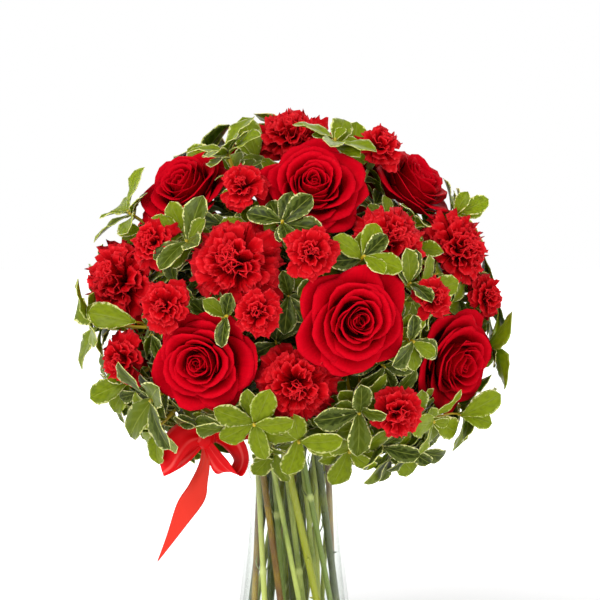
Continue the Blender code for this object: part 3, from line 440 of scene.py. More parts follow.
def floorFinish():  # paper that glows with painted light, dim near the vase and brighter away from it, so that it has no far edge
    board = skin("studio_floor_paper_painted_glow")
    grain = board.noise(floorForm["grain"], 2.0)
    place = board.node("ShaderNodeTexCoord", out="Object")
    away = board.node("ShaderNodeVectorMath", {"operation": "LENGTH"}, {0: place}, out="Value")
    # painted light: the floor glows little near the vase and much away from it
    glow = board.blend(away.between(*floorForm["glow"]), floorForm["near"], floorForm["far"])
    return board.finish(Base_Color=board.blend(grain, floorForm["dark"], floorForm["light"]),
                        Roughness=floorForm["rough"], Emission_Color=glow, Emission_Strength=1.0)


finishes = {"rose": petalFinish("rose"), "carnation": petalFinish("carnation"), "leaf": leafFinish(),
            "roseStem": stemFinish("rose"), "carnationStem": stemFinish("carnation"),
            "woody": stemFinish("woody"), "calyx": stemFinish("calyx"), "ribbon": ribbonFinish(),
            "glass": clearFinish("clear_vase_glass"), "water": clearFinish("vase_water")}
print("finishes:", len(finishes))


class Sewing:  # gathers curved sheets and round tubes into one mesh
    def __init__(self):
        self.points, self.faces, self.marks = [], [], {"along": [], "across": [], "tone": [], "cream": []}
        self.count = 0

    def add(self, grid, along, across, tone, cream=1.0, closed=False):
        rows, columns = grid.shape[:2]
        index = np.arange(rows * columns).reshape(rows, columns) + self.count
        right = np.roll(index, -1, axis=1) if closed else index[:, 1:]
        left = index if closed else index[:, :-1]
        quads = np.stack([left[:-1], right[:-1], right[1:], left[1:]], axis=-1).reshape(-1, 4)
        self.faces.extend(quads.tolist())
        if closed:
            self.faces.append(index[0][::-1].tolist())
            self.faces.append(index[-1].tolist())
        self.points.append(grid.reshape(-1, 3))
        for key, value in (("along", along), ("across", across), ("tone", tone), ("cream", cream)):
            self.marks[key].append(np.broadcast_to(value, (rows, columns)).reshape(-1))
        self.count += rows * columns

    def tube(self, points, radii, tone, sides):
        line = np.array([tuple(p) for p in points])
        steps = np.linalg.norm(np.diff(line, axis=0), axis=1)
        run = np.concatenate([[0.0], np.cumsum(steps)])
        ahead = np.gradient(line, axis=0)
        ahead /= np.linalg.norm(ahead, axis=1)[:, None]
        side = np.cross(ahead[0], (0.31, 0.87, 0.11))  # any direction off the line will do
        rings = []
        around = np.linspace(0, 2 * math.pi, sides, endpoint=False)
        for at, way, radius in zip(line, ahead, radii):
            side = side - way * side.dot(way)
            side /= np.linalg.norm(side)
            up = np.cross(way, side)
            rings.append(at + radius * (np.outer(np.cos(around), side) + np.outer(np.sin(around), up)))
        swell = np.maximum(0.0, np.array(radii) / np.median(radii) - 1)[:, None]
        self.add(np.array(rings), run[:, None], np.cos(around)[None, :], tone, swell, closed=True)

    def make(self, name, finish, thickness=0.0):
        mesh = bpy.data.meshes.new(name)
        mesh.from_pydata(np.concatenate(self.points).tolist(), [], self.faces)
        for key, values in self.marks.items():
            layer = mesh.attributes.new(key, "FLOAT", "POINT")
            layer.data.foreach_set("value", np.concatenate(values).astype(np.float32))
        mesh.shade_smooth()
        mesh.materials.append(finish)
        made = bpy.data.objects.new(name, mesh)
        bpy.context.scene.collection.objects.link(made)
        if thickness:
            body = made.modifiers.new("Thickness", "SOLIDIFY")
            body.thickness = thickness
            body.offset = 0.0
        return made


def dress(piece, slot, *replaced):  # every piece rides the one body, and the solids that it replaces are hidden
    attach(piece, "root")
    if replaced:
        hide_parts(*replaced)
    return piece


# The vase and the water: small insets from the foot, heights and drops that round their edges

turnedForm = {"steps": 80, "merge": 0.00002, "sharp": 50}
glassForm = {"lipSteps": 5, "lipDrop": 0.3, "lipRise": 0.0009, "lipHeight": 0.003, "outerSteps": 60,
             "heelHeight": 0.002, "heel": 0.0012, "punt": ((0.008, 0.0), (0.014, 0.0010)), "puntTop": 0.0016,
             "floorEdge": ((0.006, 0.0), (0.0015, 0.0012)), "innerFoot": 0.004, "innerSteps": 56}
waterForm = {"middleDrop": 0.0012, "edge": ((0.004, 0.0011), (0.0015, 0.0006), (0.0, 0.0)), "topDrop": 0.002,
             "footRise": 0.003, "steps": 50, "footInset": 0.002}


def glassRadius(height):
    if height <= vase["bellyHeight"]:
        share = height / vase["bellyHeight"]
        bulge = vase["bellyRadius"] - vase["footRadius"]
        return vase["footRadius"] + bulge * math.sin(share * math.pi / 2)
    if height <= vase["waistHeight"]:
        share = (height - vase["bellyHeight"]) / (vase["waistHeight"] - vase["bellyHeight"])
        bulge = vase["bellyRadius"] - vase["waistRadius"]
        return vase["waistRadius"] + bulge * (1 - share) ** vase["bodyCurve"]
    share = (height - vase["waistHeight"]) / (vase["height"] - vase["waistHeight"])
    return vase["waistRadius"] + (vase["lipRadius"] - vase["waistRadius"]) * share ** vase["flareCurve"]


def turned(name, profile, finish):
    mesh = bpy.data.meshes.new(name)
    edges = [(i, i + 1) for i in range(len(profile) - 1)]
    mesh.from_pydata([(max(r, 0.0), 0.0, z) for r, z in profile], edges, [])
    made = bpy.data.objects.new(name, mesh)
    bpy.context.scene.collection.objects.link(made)
    screw = made.modifiers.new("Turn", "SCREW")
    screw.steps = screw.render_steps = turnedForm["steps"]
    screw.use_merge_vertices = True
    screw.merge_threshold = turnedForm["merge"]
    screw.use_smooth_shade = True
    graph = bpy.context.evaluated_depsgraph_get()
    made.data = bpy.data.meshes.new_from_object(made.evaluated_get(graph))
    made.modifiers.clear()
    bpy.data.meshes.remove(mesh)
    made.data.shade_smooth()
    made.data.set_sharp_from_angle(angle=math.radians(turnedForm["sharp"]))
    made.data.materials.clear()
    made.data.materials.append(finish)
    return made


def makeVase():
    form = glassForm
    wall, base, top, foot = vase["wall"], vase["base"], vase["height"], vase["footRadius"]
    middle = vase["lipRadius"] - wall / 2
    crest = top - wall / 2 * form["lipDrop"]
    lip = [(middle + wall / 2 * math.sin(a), crest + form["lipRise"] * math.cos(a))
           for a in np.linspace(0.0, math.pi / 2, form["lipSteps"])]
    low, high = vase["bellyHeight"] + form["innerFoot"], top - form["lipHeight"]
    outer = [(glassRadius(z), z) for z in np.linspace(high, form["heelHeight"], form["outerSteps"])]
    heel = [(foot, form["heel"]), (foot - form["heel"], 0.0)]
    punt = [(foot - inset, z) for inset, z in form["punt"]] + [(0.0, form["puntTop"])]
    floor = [(0.0, base)] + [(foot - wall - inset, base + rise) for inset, rise in form["floorEdge"]]
    inner = [(glassRadius(z) - wall, z) for z in np.linspace(low, high, form["innerSteps"])]
    back = [(2 * middle - r, z) for r, z in reversed(lip)]
    piece = turned("vase_glass", lip + outer + heel + punt + floor + inner + back, finishes["glass"])
    return dress(piece, "glass", "vase")


def makeWater():
    form = waterForm
    inset = vase["wall"] + vase["gap"]
    level, floor = vase["waterLevel"], vase["base"] + vase["gap"]
    rim = glassRadius(level) - inset
    high, low = level - form["topDrop"], vase["bellyHeight"] + form["footRise"]
    profile = [(0.0, level - form["middleDrop"])]
    profile += [(rim - inward, level - drop) for inward, drop in form["edge"]]
    profile += [(glassRadius(z) - inset, z) for z in np.linspace(high, low, form["steps"])]
    profile += [(vase["footRadius"] - inset - form["footInset"], floor), (0.0, floor)]
    return dress(turned("vase_water", profile, finishes["water"]), "water", "water")


# Flower heads

roseForm = {
    # petals, half angle, root, half way and rim as shares of the radius, curl, where it starts, tip
    "rings": (
        (3, 150, (0.03, 0.36), (0.08, 0.58), (0.040, 0.82), 0.3, 0.80, 0.00),
        (3, 130, (0.03, 0.34), (0.14, 0.62), (0.092, 0.91), 0.6, 0.77, 0.02),
        (3, 118, (0.04, 0.32), (0.21, 0.62), (0.155, 0.97), 0.9, 0.74, 0.03),
        (4, 92, (0.04, 0.30), (0.30, 0.60), (0.235, 1.00), 1.2, 0.72, 0.05),
        (4, 86, (0.05, 0.28), (0.39, 0.56), (0.330, 0.99), 1.6, 0.68, 0.07),
        (4, 80, (0.05, 0.25), (0.48, 0.50), (0.435, 0.94), 2.0, 0.65, 0.11),
        (5, 63, (0.05, 0.22), (0.56, 0.42), (0.555, 0.86), 2.1, 0.62, 0.20),
        (5, 56, (0.05, 0.18), (0.64, 0.32), (0.675, 0.72), 1.7, 0.62, 0.26),
    ),
    "rows": 12, "columns": 11, "pinwheel": 0.14, "thickness": 0.0004, "cornerDrop": 0.30, "cornerPower": 2.4,
    "skew": 0.30, "turnJitter": 18, "reachJitter": 0.06, "heightJitter": 0.05, "curlJitter": (0.75, 1.15),
    "oval": 0.05, "offCentre": 0.07, "ringTurn": 0.9, "tones": (0.15, 0.85),
    "flatTip": 0.42, "sideRoll": 0.85, "rollPower": 1.3,  # the sides of a petal roll back most
    "ripples": ((3.0, 0.028), (7.0, 0.018)), "rippleRise": 1.5,  # waves across a petal and their heights
    "wave": (2.4, 0.034, 1.7), "crumple": (8.0, 0.018), "narrow": 0.35, "widens": 1.3}

carnationForm = {
    "carnation": {"petals": 60, "rows": 5, "columns": 17, "teeth": 0.016, "ruffle": 0.135, "waves": 2.0,
                  "top": 0.80, "side": 1.15, "centre": 0.38, "widest": 0.47, "droop": 104, "loose": 14},
    "spray": {"petals": 30, "rows": 5, "columns": 13, "teeth": 0.022, "ruffle": 0.150, "waves": 1.7,
              "top": 0.82, "side": 1.20, "centre": 0.42, "widest": 0.56, "droop": 98, "loose": 16},
    "thickness": 0.0004, "snug": {"carnation_5": 0.92, "spray_7": 0.88, "spray_8": 0.92},  # beside leaves
    "upright": 6, "spread": 0.80, "steady": 0.6, "full": 0.12, "fullTilt": 9, "turnJitter": 0.45,
    "reachJitter": (0.86, 1.04), "waveJitter": (0.8, 1.2), "sizeJitter": (0.75, 1.25),
    "wideJitter": (0.9, 1.1), "rootOut": 0.03, "bow": (0.10, 0.20), "lobe": 0.035, "lobes": (5, 8),
    "cornerDrop": 0.32, "cornerPower": 2.4, "size": (1.20, 0.55), "crimp": (2.4, 0.40),
    "curl": (1.3, 0.5), "cup": 0.08, "taper": (0.62, 0.38), "fan": 0.85, "skew": 0.06, "tones": (0.1, 0.9)}


def seatOf(name):
    turn, lift, reach, radius, lean, _ = blooms[name]
    out = facing(turn, lift)
    axis = (out + Vector((0, -lean, 0))).normalized()
    lowest = math.sin(math.radians(dome["lowestLift"]))
    if axis.z < lowest:
        axis = Vector((axis.x, axis.y, lowest)).normalized()
    return dome["heart"] + out * reach - axis * radius * dome["seatDepth"][name.split("_")[0]], axis, radius


def bloomNode(name):
    return name.replace("_", "_carnation_" if name.startswith("spray") else "_bloom_")


def rosePetal(sewing, seat, axes, radius, turn, ring, lean, draw):
    form = roseForm
    _, half, root, middle, rim, curl, start, point = ring
    level, rest, axis = (np.array(a) for a in axes)
    rows = np.linspace(0.0, 1.0, form["rows"])[:, None]
    u = np.linspace(-1.0, 1.0, form["columns"])[None, :]
    reach = draw.uniform(1 - form["reachJitter"], 1 + form["reachJitter"])
    tall = draw.uniform(1 - form["heightJitter"], 1 + form["heightJitter"])
    middle, rim = (middle[0] * reach, middle[1]), (rim[0] * reach, rim[1] * tall)
    curl = curl * draw.uniform(*form["curlJitter"])
    off = np.abs(u - draw.uniform(-1, 1) * form["skew"])  # the petal's tip lies a little to one side
    s = rows * (1 - form["cornerDrop"] * off ** form["cornerPower"] + point * (1 - off) ** 2)
    bow = [2 * h - (a + b) / 2 for a, h, b in zip(root, middle, rim)]
    flat = np.minimum(s, start)
    r, z = (a * (1 - flat) ** 2 + m * 2 * (1 - flat) * flat + b * flat * flat
            for a, m, b in zip(root, bow, rim))
    # Past its start the roll goes on along the petal's slope and turns back
    slope = [2 * (1 - start) * (m - a) + 2 * start * (b - m) for a, m, b in zip(root, bow, rim)]
    steep = math.hypot(*slope)
    past = np.maximum(s - start, 0.0)
    rolled = form["flatTip"] + form["sideRoll"] * np.minimum(1.0, off) ** form["rollPower"]
    bend = curl * rolled * past / (1 - start) + 1e-6
    ahead, aside = past * steep * np.sin(bend) / bend, past * steep * (1 - np.cos(bend)) / bend
    r = r + ahead * slope[0] / steep + aside * slope[1] / steep
    z = z + ahead * slope[1] / steep - aside * slope[0] / steep
    phase = draw.uniform(*anyPhase)
    (broad, broadHeight), (fine, fineHeight) = form["ripples"]
    ripple = np.sin(u * broad + phase) * broadHeight + np.sin(u * fine + phase * 2) * fineHeight
    r = (r + ripple * s ** form["rippleRise"]) * (1 + form["pinwheel"] * u * s)
    wave = form["wave"][1] * np.sin(u * form["wave"][0] + phase * form["wave"][2])
    z = z + (wave + form["crumple"][1] * np.sin(u * form["crumple"][0] + phase)) * s * s
    wide = form["narrow"] + (1 - form["narrow"]) * np.sin(np.minimum(1.0, s * form["widens"]) * math.pi / 2)
    angle = turn + math.radians(half) * u * wide
    r = r * (1 + form["oval"] * np.cos(2 * angle + lean[0]))
    shift = form["offCentre"] * np.maximum(0.0, 1 - r)
    around = (np.cos(angle) * r + math.cos(lean[1]) * shift)[..., None] * level
    around = around + (np.sin(angle) * r + math.sin(lean[1]) * shift)[..., None] * rest
    grid = np.array(seat) + (around + z[..., None] * axis) * radius
    sewing.add(grid, rows, u, draw.uniform(*form["tones"]))


def makeRose(name):
    seat, axis, radius = seatOf(name)
    level, rest = squareAxes(axis)
    draw = random.Random(name)
    sewing = Sewing()
    spin = math.radians(blooms[name][5])
    lean = (draw.uniform(*anyPhase), draw.uniform(*anyPhase))
    for index, ring in enumerate(roseForm["rings"]):
        for k in range(ring[0]):
            jitter = math.radians(draw.uniform(-1, 1) * roseForm["turnJitter"])
            turn = spin + index * roseForm["ringTurn"] + 2 * math.pi * k / ring[0] + jitter
            rosePetal(sewing, seat, (level, rest, axis), radius, turn, ring, lean, draw)
    piece = sewing.make(bloomNode(name) + "_petals", finishes["rose"], roseForm["thickness"])
    return dress(piece, "rose_petal", bloomNode(name))


def frilledPetal(sewing, seat, axes, radius, form, share, turn, draw):
    every = carnationForm
    level, rest, axis = (np.array(a) for a in axes)
    rows = np.linspace(0.0, 1.0, form["rows"])[:, None]
    u = np.linspace(-1.0, 1.0, form["columns"])[None, :]
    tilt = every["upright"] + (form["droop"] - every["upright"]) * share ** every["spread"]
    tilt = math.radians(tilt + draw.uniform(-1, 1) * form["loose"] * (1 - every["steady"] * share))
    if share <= every["full"]:  # the middle is full of upright petals
        tilt = math.radians(draw.uniform(-every["fullTilt"], every["fullTilt"]))
    reach = (form["top"] + (form["side"] - form["top"]) * share) * draw.uniform(*every["reachJitter"])
    out = outward(level, rest, turn)
    across = outward(rest, -level, turn)
    root = axis * form["centre"] + out * every["rootOut"]
    rim = axis * (form["centre"] + reach * math.cos(tilt)) + out * reach * math.sin(tilt)
    bow = (root + rim) / 2 + axis * (every["bow"][0] + every["bow"][1] * share)
    teeth = np.where(np.arange(form["columns"]) % 2, form["teeth"], -form["teeth"])[None, :] * (1 - u ** 4)
    lobes = every["lobe"] * np.sin(u * draw.uniform(*every["lobes"]) + draw.uniform(*anyPhase))
    s = rows * (1 - every["cornerDrop"] * np.abs(u) ** every["cornerPower"] + (teeth + lobes) * rows ** 4)
    spine = root * ((1 - s) ** 2)[..., None] + bow * (2 * s * (1 - s))[..., None]
    spine = spine + rim * (s * s)[..., None]
    ahead = (bow - root) * (2 * (1 - s))[..., None] + (rim - bow) * (2 * s)[..., None]
    ahead /= np.linalg.norm(ahead, axis=-1, keepdims=True)
    normal = np.cross(ahead, across)
    phase, waves = draw.uniform(*anyPhase), form["waves"] * draw.uniform(*every["waveJitter"])
    size = form["ruffle"] * (every["size"][0] - every["size"][1] * share)
    size = size * draw.uniform(*every["sizeJitter"])
    crimp, crimpShare = every["crimp"]
    curl, curlShare = every["curl"]
    frill = np.sin(u * waves * math.pi + phase)
    frill = frill + crimpShare * np.sin(u * waves * crimp * math.pi + phase * 2)
    lift = size * s ** 2 * frill
    lift = lift + size * curlShare * s ** 3 * np.cos(u * waves * curl * math.pi + phase * curl)
    lift = lift - every["cup"] * u * u * s
    wide = form["widest"] * (every["taper"][0] + every["taper"][1] * share) * s ** every["fan"]
    wide = wide * draw.uniform(*every["wideJitter"])
    skew = every["skew"] * np.cos(u * waves * math.pi + phase) * s
    grid = spine + across * (u * wide + skew)[..., None] + normal * lift[..., None]
    sewing.add(np.array(seat) + grid * radius, rows, u, draw.uniform(*every["tones"]))


def makeCarnation(name):
    form = carnationForm[name.split("_")[0]]
    seat, axis, radius = seatOf(name)
    radius = radius * carnationForm["snug"].get(name, 1.0)
    level, rest = squareAxes(axis)
    draw = random.Random(name)
    sewing = Sewing()
    spin = math.radians(blooms[name][5])
    for k in range(form["petals"]):
        share = (k + 0.5) / form["petals"]
        turn = spin + golden * k + draw.uniform(-carnationForm["turnJitter"], carnationForm["turnJitter"])
        frilledPetal(sewing, seat, (level, rest, axis), radius, form, share, turn, draw)
    piece = sewing.make(bloomNode(name) + "_petals", finishes["carnation"], carnationForm["thickness"])
    return dress(piece, "carnation_petal", bloomNode(name))


# Stems

def lineOf(radius, angle, height):
    turnedBy = 1j * bunch["twist"] * (height - vase["waistHeight"])
    spot = radius * complex(math.cos(angle), math.sin(angle)) * (1 + turnedBy)
    return Vector((spot.real, spot.imag, height))


def ringSlots(namesAndTurns, ring):
    ordered = sorted(namesAndTurns, key=lambda item: item[1])
    step = 360 / len(ordered)
    first = sum(turn - i * step for i, (_, turn) in enumerate(ordered)) / len(ordered)
    return {name: (bunch["rings"][ring], math.radians(first + i * step - bunch["turnAtMouth"] - 90))
            for i, (name, _) in enumerate(ordered)}


def stemPlan():
    outer, middle, inner = [], [], []
    for name, values in blooms.items():
        if name.startswith("spray"):
            continue
        target = inner if name in innerStems else middle if name in middleStems else outer
        target.append((name, values[0]))
    for name, (ring, turn, *_) in sprays.items():
        (outer if ring == "outer" else middle).append((name, turn))
    for name, (turn, _, _) in branches.items():
        outer.append((name, turn))
    return {**ringSlots(outer, "outer"), **ringSlots(middle, "middle"), **ringSlots(inner, "inner")}


# The solids were built by the same search, so the choice that fits a solid's corners is the one that it has
search = {"near": 0.0005, "leafNear": 0.00004, "corners": 4,
          "offsets": (0.0, 0.006, -0.006, 0.012, -0.012, 0.020, -0.020, 0.030, -0.030),
          "pulls": ((0.35, 0.40), (0.50, 0.32), (0.25, 0.50), (0.60, 0.45), (0.20, 0.25), (0.45, 0.65)),
          "shootStarts": (0.55, 0.75, 0.35, 0.9, 0.15, 0.5, 0.7, 0.3, 0.85, 0.05), "ahead": 0.05}


def corners(node):
    co = np.array([tuple(v.co) for v in nodes[node].data.vertices])
    once = np.unique(np.round(co, 5), axis=0)
    tree = KDTree(len(once))
    for i, point in enumerate(once):
        tree.insert(point, i)
    tree.balance()
    return tree


def offLine(tree, point):  # how far a point is from the middle of the nearest corners
    near = [Vector(found[0]) for found in tree.find_n(point, search["corners"])]
    return (sum(near, Vector()) / search["corners"] - point).length


def routeChoices(start, heading, seat, axis):
    span = (seat - start).length
    side = heading.cross(seat - start)
    side = side.normalized() if side.length > 1e-6 else Vector((1, 0, 0))
    for offset in search["offsets"]:
        for first, last in search["pulls"]:
            yield (start, start + heading * span * first + side * offset,
                   seat - axis * span * last + side * offset, seat)


def builtRoute(tree, start, heading, seat, axis, shares):  # a corner may be lost where a shoot joins it
    best = min(routeChoices(start, heading, seat, axis),
               key=lambda ways: sum(offLine(tree, bezier(*ways, t)) for t in shares[:-1]))
    return best, min(offLine(tree, bezier(*best, t)) for t in shares[:-1])


def builtShoot(tree, ways, tip, axis):  # a side shoot leaves its stem at the first share that was clear
    found = []
    for share in search["shootStarts"]:
        start = bezier(*ways, share)
        along = (bezier(*ways, share + search["ahead"]) - start).normalized()
        heading = (along + (tip - start).normalized()).normalized()
        route, off = builtRoute(tree, start, heading, tip, axis, bunch["shootShares"])
        found.append((off, route))
    return min(found, key=lambda item: item[0])


def missed(off, *what):  # tells when the solid's own route isn't among the choices
    if off > search["near"]:
        print("not found:", *what, round(off * metre, 2), "mm")
    return off > search["near"]


def headingOf(slot):
    return (lineOf(*slot, bunch["mouth"]) - lineOf(*slot, vase["waistHeight"])).normalized()


stemForm = {"straightSteps": 26, "curveSteps": 14, "shootSteps": 10, "sides": 10, "thinSides": 8,
            "joints": 3, "jointLength": 0.006, "firstJoint": 0.018, "jointShift": 0.017, "shifts": 5,
            "jointRows": (-0.005, -0.0025, 0.0, 0.0012, 0.004), "topClear": 0.01, "bladeThickness": 0.0004,
            "tones": (0.1, 0.9), "sprayTone": 0.5, "shootTone": 0.6}
sheathForm = {"root": 0.95, "ahead": 0.01, "across": Vector((0, 1, 0.2)), "length": 0.013, "lean": 0.0018,
              "width": 0.0042, "tone": 0.6, "rows": 6}
thornForm = {"count": 5, "first": 4, "every": 4, "turn": 6.28, "rise": 0.25, "length": 0.0032, "sunk": 0.6,
             "neck": 0.001, "radii": (0.0012, 0.0008, 0.00012), "sides": 6}

# Under each head: the cup's rows from the neck (0) or the seat (1), their offset along the axis and their
# radius as a share of the stem's (0) or the cup's (1), and the sepals or teeth round it
calyxForm = {
    "rose": {"cup": ((0, -0.002, 0, 0.98), (0, 0.0, 0, 1.15), (1, -0.006, 1, 0.95), (1, -0.003, 1, 1.0),
                     (1, 0.001, 1, 0.7)), "sides": 12,
             "blades": 5, "inset": 0.5, "below": 0.004, "out": 0.018, "up": -0.005, "width": 0.0052,
             "rows": 7},
    "carnation": {"cup": ((0, -0.001, 0, 1.0), (0, 0.0015, 1, 0.72), (0, 0.007, 1, 0.90),
                          (1, -0.003, 1, 1.0), (1, 0.002, 1, 0.95)), "sides": 12,
                  "blades": 6, "inset": 0.9, "below": 0.001, "out": 0.003, "up": 0.006, "width": 0.0045,
                  "rows": 5},
    "spray": {"cup": ((0, 0.0, 0, 1.0), (0, 0.002, 1, 0.75), (0, 0.007, 1, 0.9), (1, 0.0, 1, 1.0),
                      (1, 0.002, 1, 0.95)), "sides": 10,
              "blades": 5, "inset": 0.9, "below": 0.0, "out": 0.002, "up": 0.004, "width": 0.0034,
              "rows": 5},
    "tones": (0.2, 0.8), "tone": 0.5}


def straightPart(slot, radius, kind, number):
    form = stemForm
    heights = np.linspace(bunch["foot"], bunch["mouth"], form["straightSteps"])
    radii = np.full(len(heights), radius)
    joints = []
    if kind == "carnation":
        first = bunch["foot"] + form["firstJoint"] + form["jointShift"] * (number * 3 % form["shifts"])
        joints = [first + bunch["jointEvery"] * k for k in range(form["joints"])]
        joints = [z for z in joints if z < bunch["mouth"] - form["topClear"]]
        heights = np.unique(np.concatenate([heights, [z + d for z in joints for d in form["jointRows"]]]))
        radii = np.full(len(heights), radius)
        for z in joints:
            near = np.exp(-((heights - z) / form["jointLength"] * 2) ** 2)
            radii = radii + (bunch["joint"] - radius) * near
    return [lineOf(*slot, z) for z in heights], list(radii), joints


def softRadii(count, first, last):
    return list(np.linspace(first, last, count))


bladeForm = {"foot": 0.25, "power": 0.8, "arch": 0.18, "fold": 0.3, "columns": 3}


def blade(sewing, start, tip, normal, width, tone, rows):  # a small pointed leaf, for sepals and sheaths
    start, tip, normal = np.array(start), np.array(tip), np.array(normal)
    ahead = tip - start
    side = np.cross(ahead, normal)
    side /= np.linalg.norm(side)
    s = np.linspace(0.0, 1.0, rows)[:, None]
    u = np.linspace(-1.0, 1.0, bladeForm["columns"])[None, :]
    foot = bladeForm["foot"]
    wide = width / 2 * np.sin(math.pi * (foot + (1 - foot) * s)) ** bladeForm["power"]
    lift = bladeForm["arch"] * np.linalg.norm(ahead) * np.sin(math.pi * s)
    lift = lift - np.abs(u) * wide * bladeForm["fold"]
    grid = start + ahead * s[..., None] + side * (u * wide)[..., None] + normal * lift[..., None]
    sewing.add(grid, s, u, tone)


def makeCalyx(cup, blades, kind, seat, axis, thick, tone, draw=None):
    form = calyxForm[kind]
    length, wide = dome["calyx"][kind]
    ends, sizes = (seat - axis * length, seat), (thick, wide)
    cup.tube([ends[end] + axis * along for end, along, _, _ in form["cup"]],
             [sizes[size] * share for _, _, size, share in form["cup"]], tone, form["sides"])
    level, rest = squareAxes(axis)
    for k in range(form["blades"]):
        out = outward(level, rest, 2 * math.pi * k / form["blades"])
        start = seat - axis * form["below"] + out * wide * form["inset"]
        tip = start + out * form["out"] + axis * form["up"]
        shade = draw.uniform(*calyxForm["tones"]) if draw else calyxForm["tone"]
        blade(blades, start, tip, axis if kind == "rose" else out, form["width"], shade, form["rows"])


def addThorns(sewing, points, thick, tone, draw):
    form = thornForm
    for k in range(form["count"]):
        at = points[form["first"] + k * form["every"]]
        angle = draw.uniform(0, form["turn"])
        out = Vector((math.cos(angle), math.sin(angle), form["rise"])).normalized()
        neck, tip = at + out * (thick + form["neck"]), at + out * (thick + form["length"])
        sewing.tube([at + out * thick * form["sunk"], neck, tip], form["radii"], tone, form["sides"])


def addSheaths(blades, slot, joints, thick):  # a pair of short leaves at each joint
    form = sheathForm
    for z in joints:
        at = lineOf(*slot, z)
        ahead = (lineOf(*slot, z + form["ahead"]) - at).normalized()
        side = ahead.cross(form["across"]).normalized()
        for sign in (-1, 1):
            start = at + side * sign * thick * form["root"]
            tip = start + ahead * form["length"] + side * sign * form["lean"]
            blade(blades, start, tip, side * sign, form["width"], form["tone"], form["rows"])


def finishStem(node, kind, stem, cup, blades, plural=""):
    dress(stem.make(node + "_skin", finishes[kind + "Stem"]), "green_stem", node)
    dress(cup.make(node + "_calyx" + plural, finishes["calyx"]), "green_stem")
    dress(blades.make(node + "_bracts", finishes["calyx"], stemForm["bladeThickness"]), "green_stem")


def makeFlowerStem(name, slot):
    kind, number = name.split("_")[0], int(name.split("_")[1])
    node = name.replace("_", "_stem_")
    seat, axis, _ = seatOf(name)
    thick = bunch[kind]
    draw = random.Random(name + "stem")
    points, radii, joints = straightPart(slot, thick, kind, number)
    neck = seat - axis * dome["calyx"][kind][0]
    ways, off = builtRoute(corners(node), points[-1], headingOf(slot), neck, axis, bunch["stemShares"])
    missed(off, name)
    curve = pointsOn(ways, stemForm["curveSteps"])[1:]
    tone = draw.uniform(*stemForm["tones"])
    stem, cup, blades = Sewing(), Sewing(), Sewing()
    stem.tube(points + curve, radii + [thick] * len(curve), tone, stemForm["sides"])
    makeCalyx(cup, blades, kind, seat, axis, thick, tone, draw if kind == "rose" else None)
    if kind == "rose":
        addThorns(stem, points, thick, tone, draw)
    addSheaths(blades, slot, joints, thick)
    finishStem(node, kind, stem, cup, blades)


def makeSprayStem(name, slot):
    _, turn, lift, reach, numbers = sprays[name]
    tree = corners(name)
    way = facing(turn, lift)
    points, radii, _ = straightPart(slot, bunch["spray"], "spray", 0)
    top = dome["heart"] + way * reach
    ways, off = builtRoute(tree, points[-1], headingOf(slot), top, way, bunch["stemShares"])
    missed(off, name)
    curve = pointsOn(ways, stemForm["curveSteps"])[1:]
    stem, cup, blades = Sewing(), Sewing(), Sewing()
    radii = radii + softRadii(len(curve), bunch["spray"], bunch["shoot"])
    tone, shootTone = stemForm["sprayTone"], stemForm["shootTone"]
    stem.tube(points + curve, radii, tone, stemForm["thinSides"])
    for number in numbers:
        seat, axis, _ = seatOf("spray_%d" % number)
        off, route = builtShoot(tree, ways, seat - axis * dome["calyx"]["spray"][0], axis)
        missed(off, name, number)
        line = pointsOn(route, stemForm["shootSteps"])
        stem.tube(line, [bunch["shoot"]] * len(line), shootTone, stemForm["thinSides"])
        makeCalyx(cup, blades, "spray", seat, axis, bunch["shoot"], tone)
    finishStem(name, "carnation", stem, cup, blades, "es")


# Greenery

# The same tries as for the solids' leaves: each a little freer, steeper and shorter than the one before
leafTries = {"turns": 0.37, "loose": (0.25, 0.06), "tilt": (-14, 12), "ease": 1.6, "length": (0.84, 1.12),
             "shrink": 0.012, "roll": (-0.3, 0.3), "lowest": -32}
leafShape = {True: {"power": 0.85, "round": 1.05, "wave": 0.35, "reach": 1.04},  # pointed
             False: {"power": 1.45, "round": 0.60, "wave": 0.75, "reach": 1.0},
             "foot": 0.10, "crest": 0.36, "lengths": (0.64, 0.61), "frill": (3.5, 0.35), "apart": 2,
             "edge": (4.5, 0.05), "outside": 2.5, "ends": 0.4}


def leafChoices(number, leaf, count, axis, length):
    form = leafTries
    draw = random.Random(number * 100 + leaf)
    level, rest = squareAxes(axis)
    for attempt in range(leafForm["tries"]):
        loose = form["loose"][0] + form["loose"][1] * attempt
        angle = 2 * math.pi * (leaf + form["turns"] * number) / count + draw.uniform(-loose, loose)
        tilt = math.radians(leafForm["tilt"] + draw.uniform(*form["tilt"]) - form["ease"] * attempt)
        out = outward(level, rest, angle)
        along = (axis * math.cos(tilt) + out * math.sin(tilt)).normalized()
        up = (axis * math.sin(tilt) - out * math.cos(tilt)).normalized()
        long = length * draw.uniform(*form["length"]) * (1 - form["shrink"] * attempt)
        yield along, up, long, draw.uniform(*form["roll"])


def leafPoints(tip, along, up, length, roll, across, share, height):
    side = along.cross(up).normalized()
    side, up = side * math.cos(roll) + up * math.sin(roll), up * math.cos(roll) - side * math.sin(roll)
    tip, along, up, side = (np.array(v) for v in (tip, along, up, side))
    across, share, height = np.broadcast_arrays(across, share, height)
    wide = length * leafForm["width"] / 2
    bend = leafForm["bend"] * share
    ahead = length * np.sin(bend) / leafForm["bend"]
    down = length * (1 - np.cos(bend)) / leafForm["bend"]
    normal = up * np.cos(bend)[..., None] + along * np.sin(bend)[..., None]
    raised = height * leafForm["wave"] * length + np.abs(across) * wide * leafForm["fold"]
    return (tip + along * ahead[..., None] - up * down[..., None] + normal * raised[..., None]
            + side * (across * wide)[..., None])


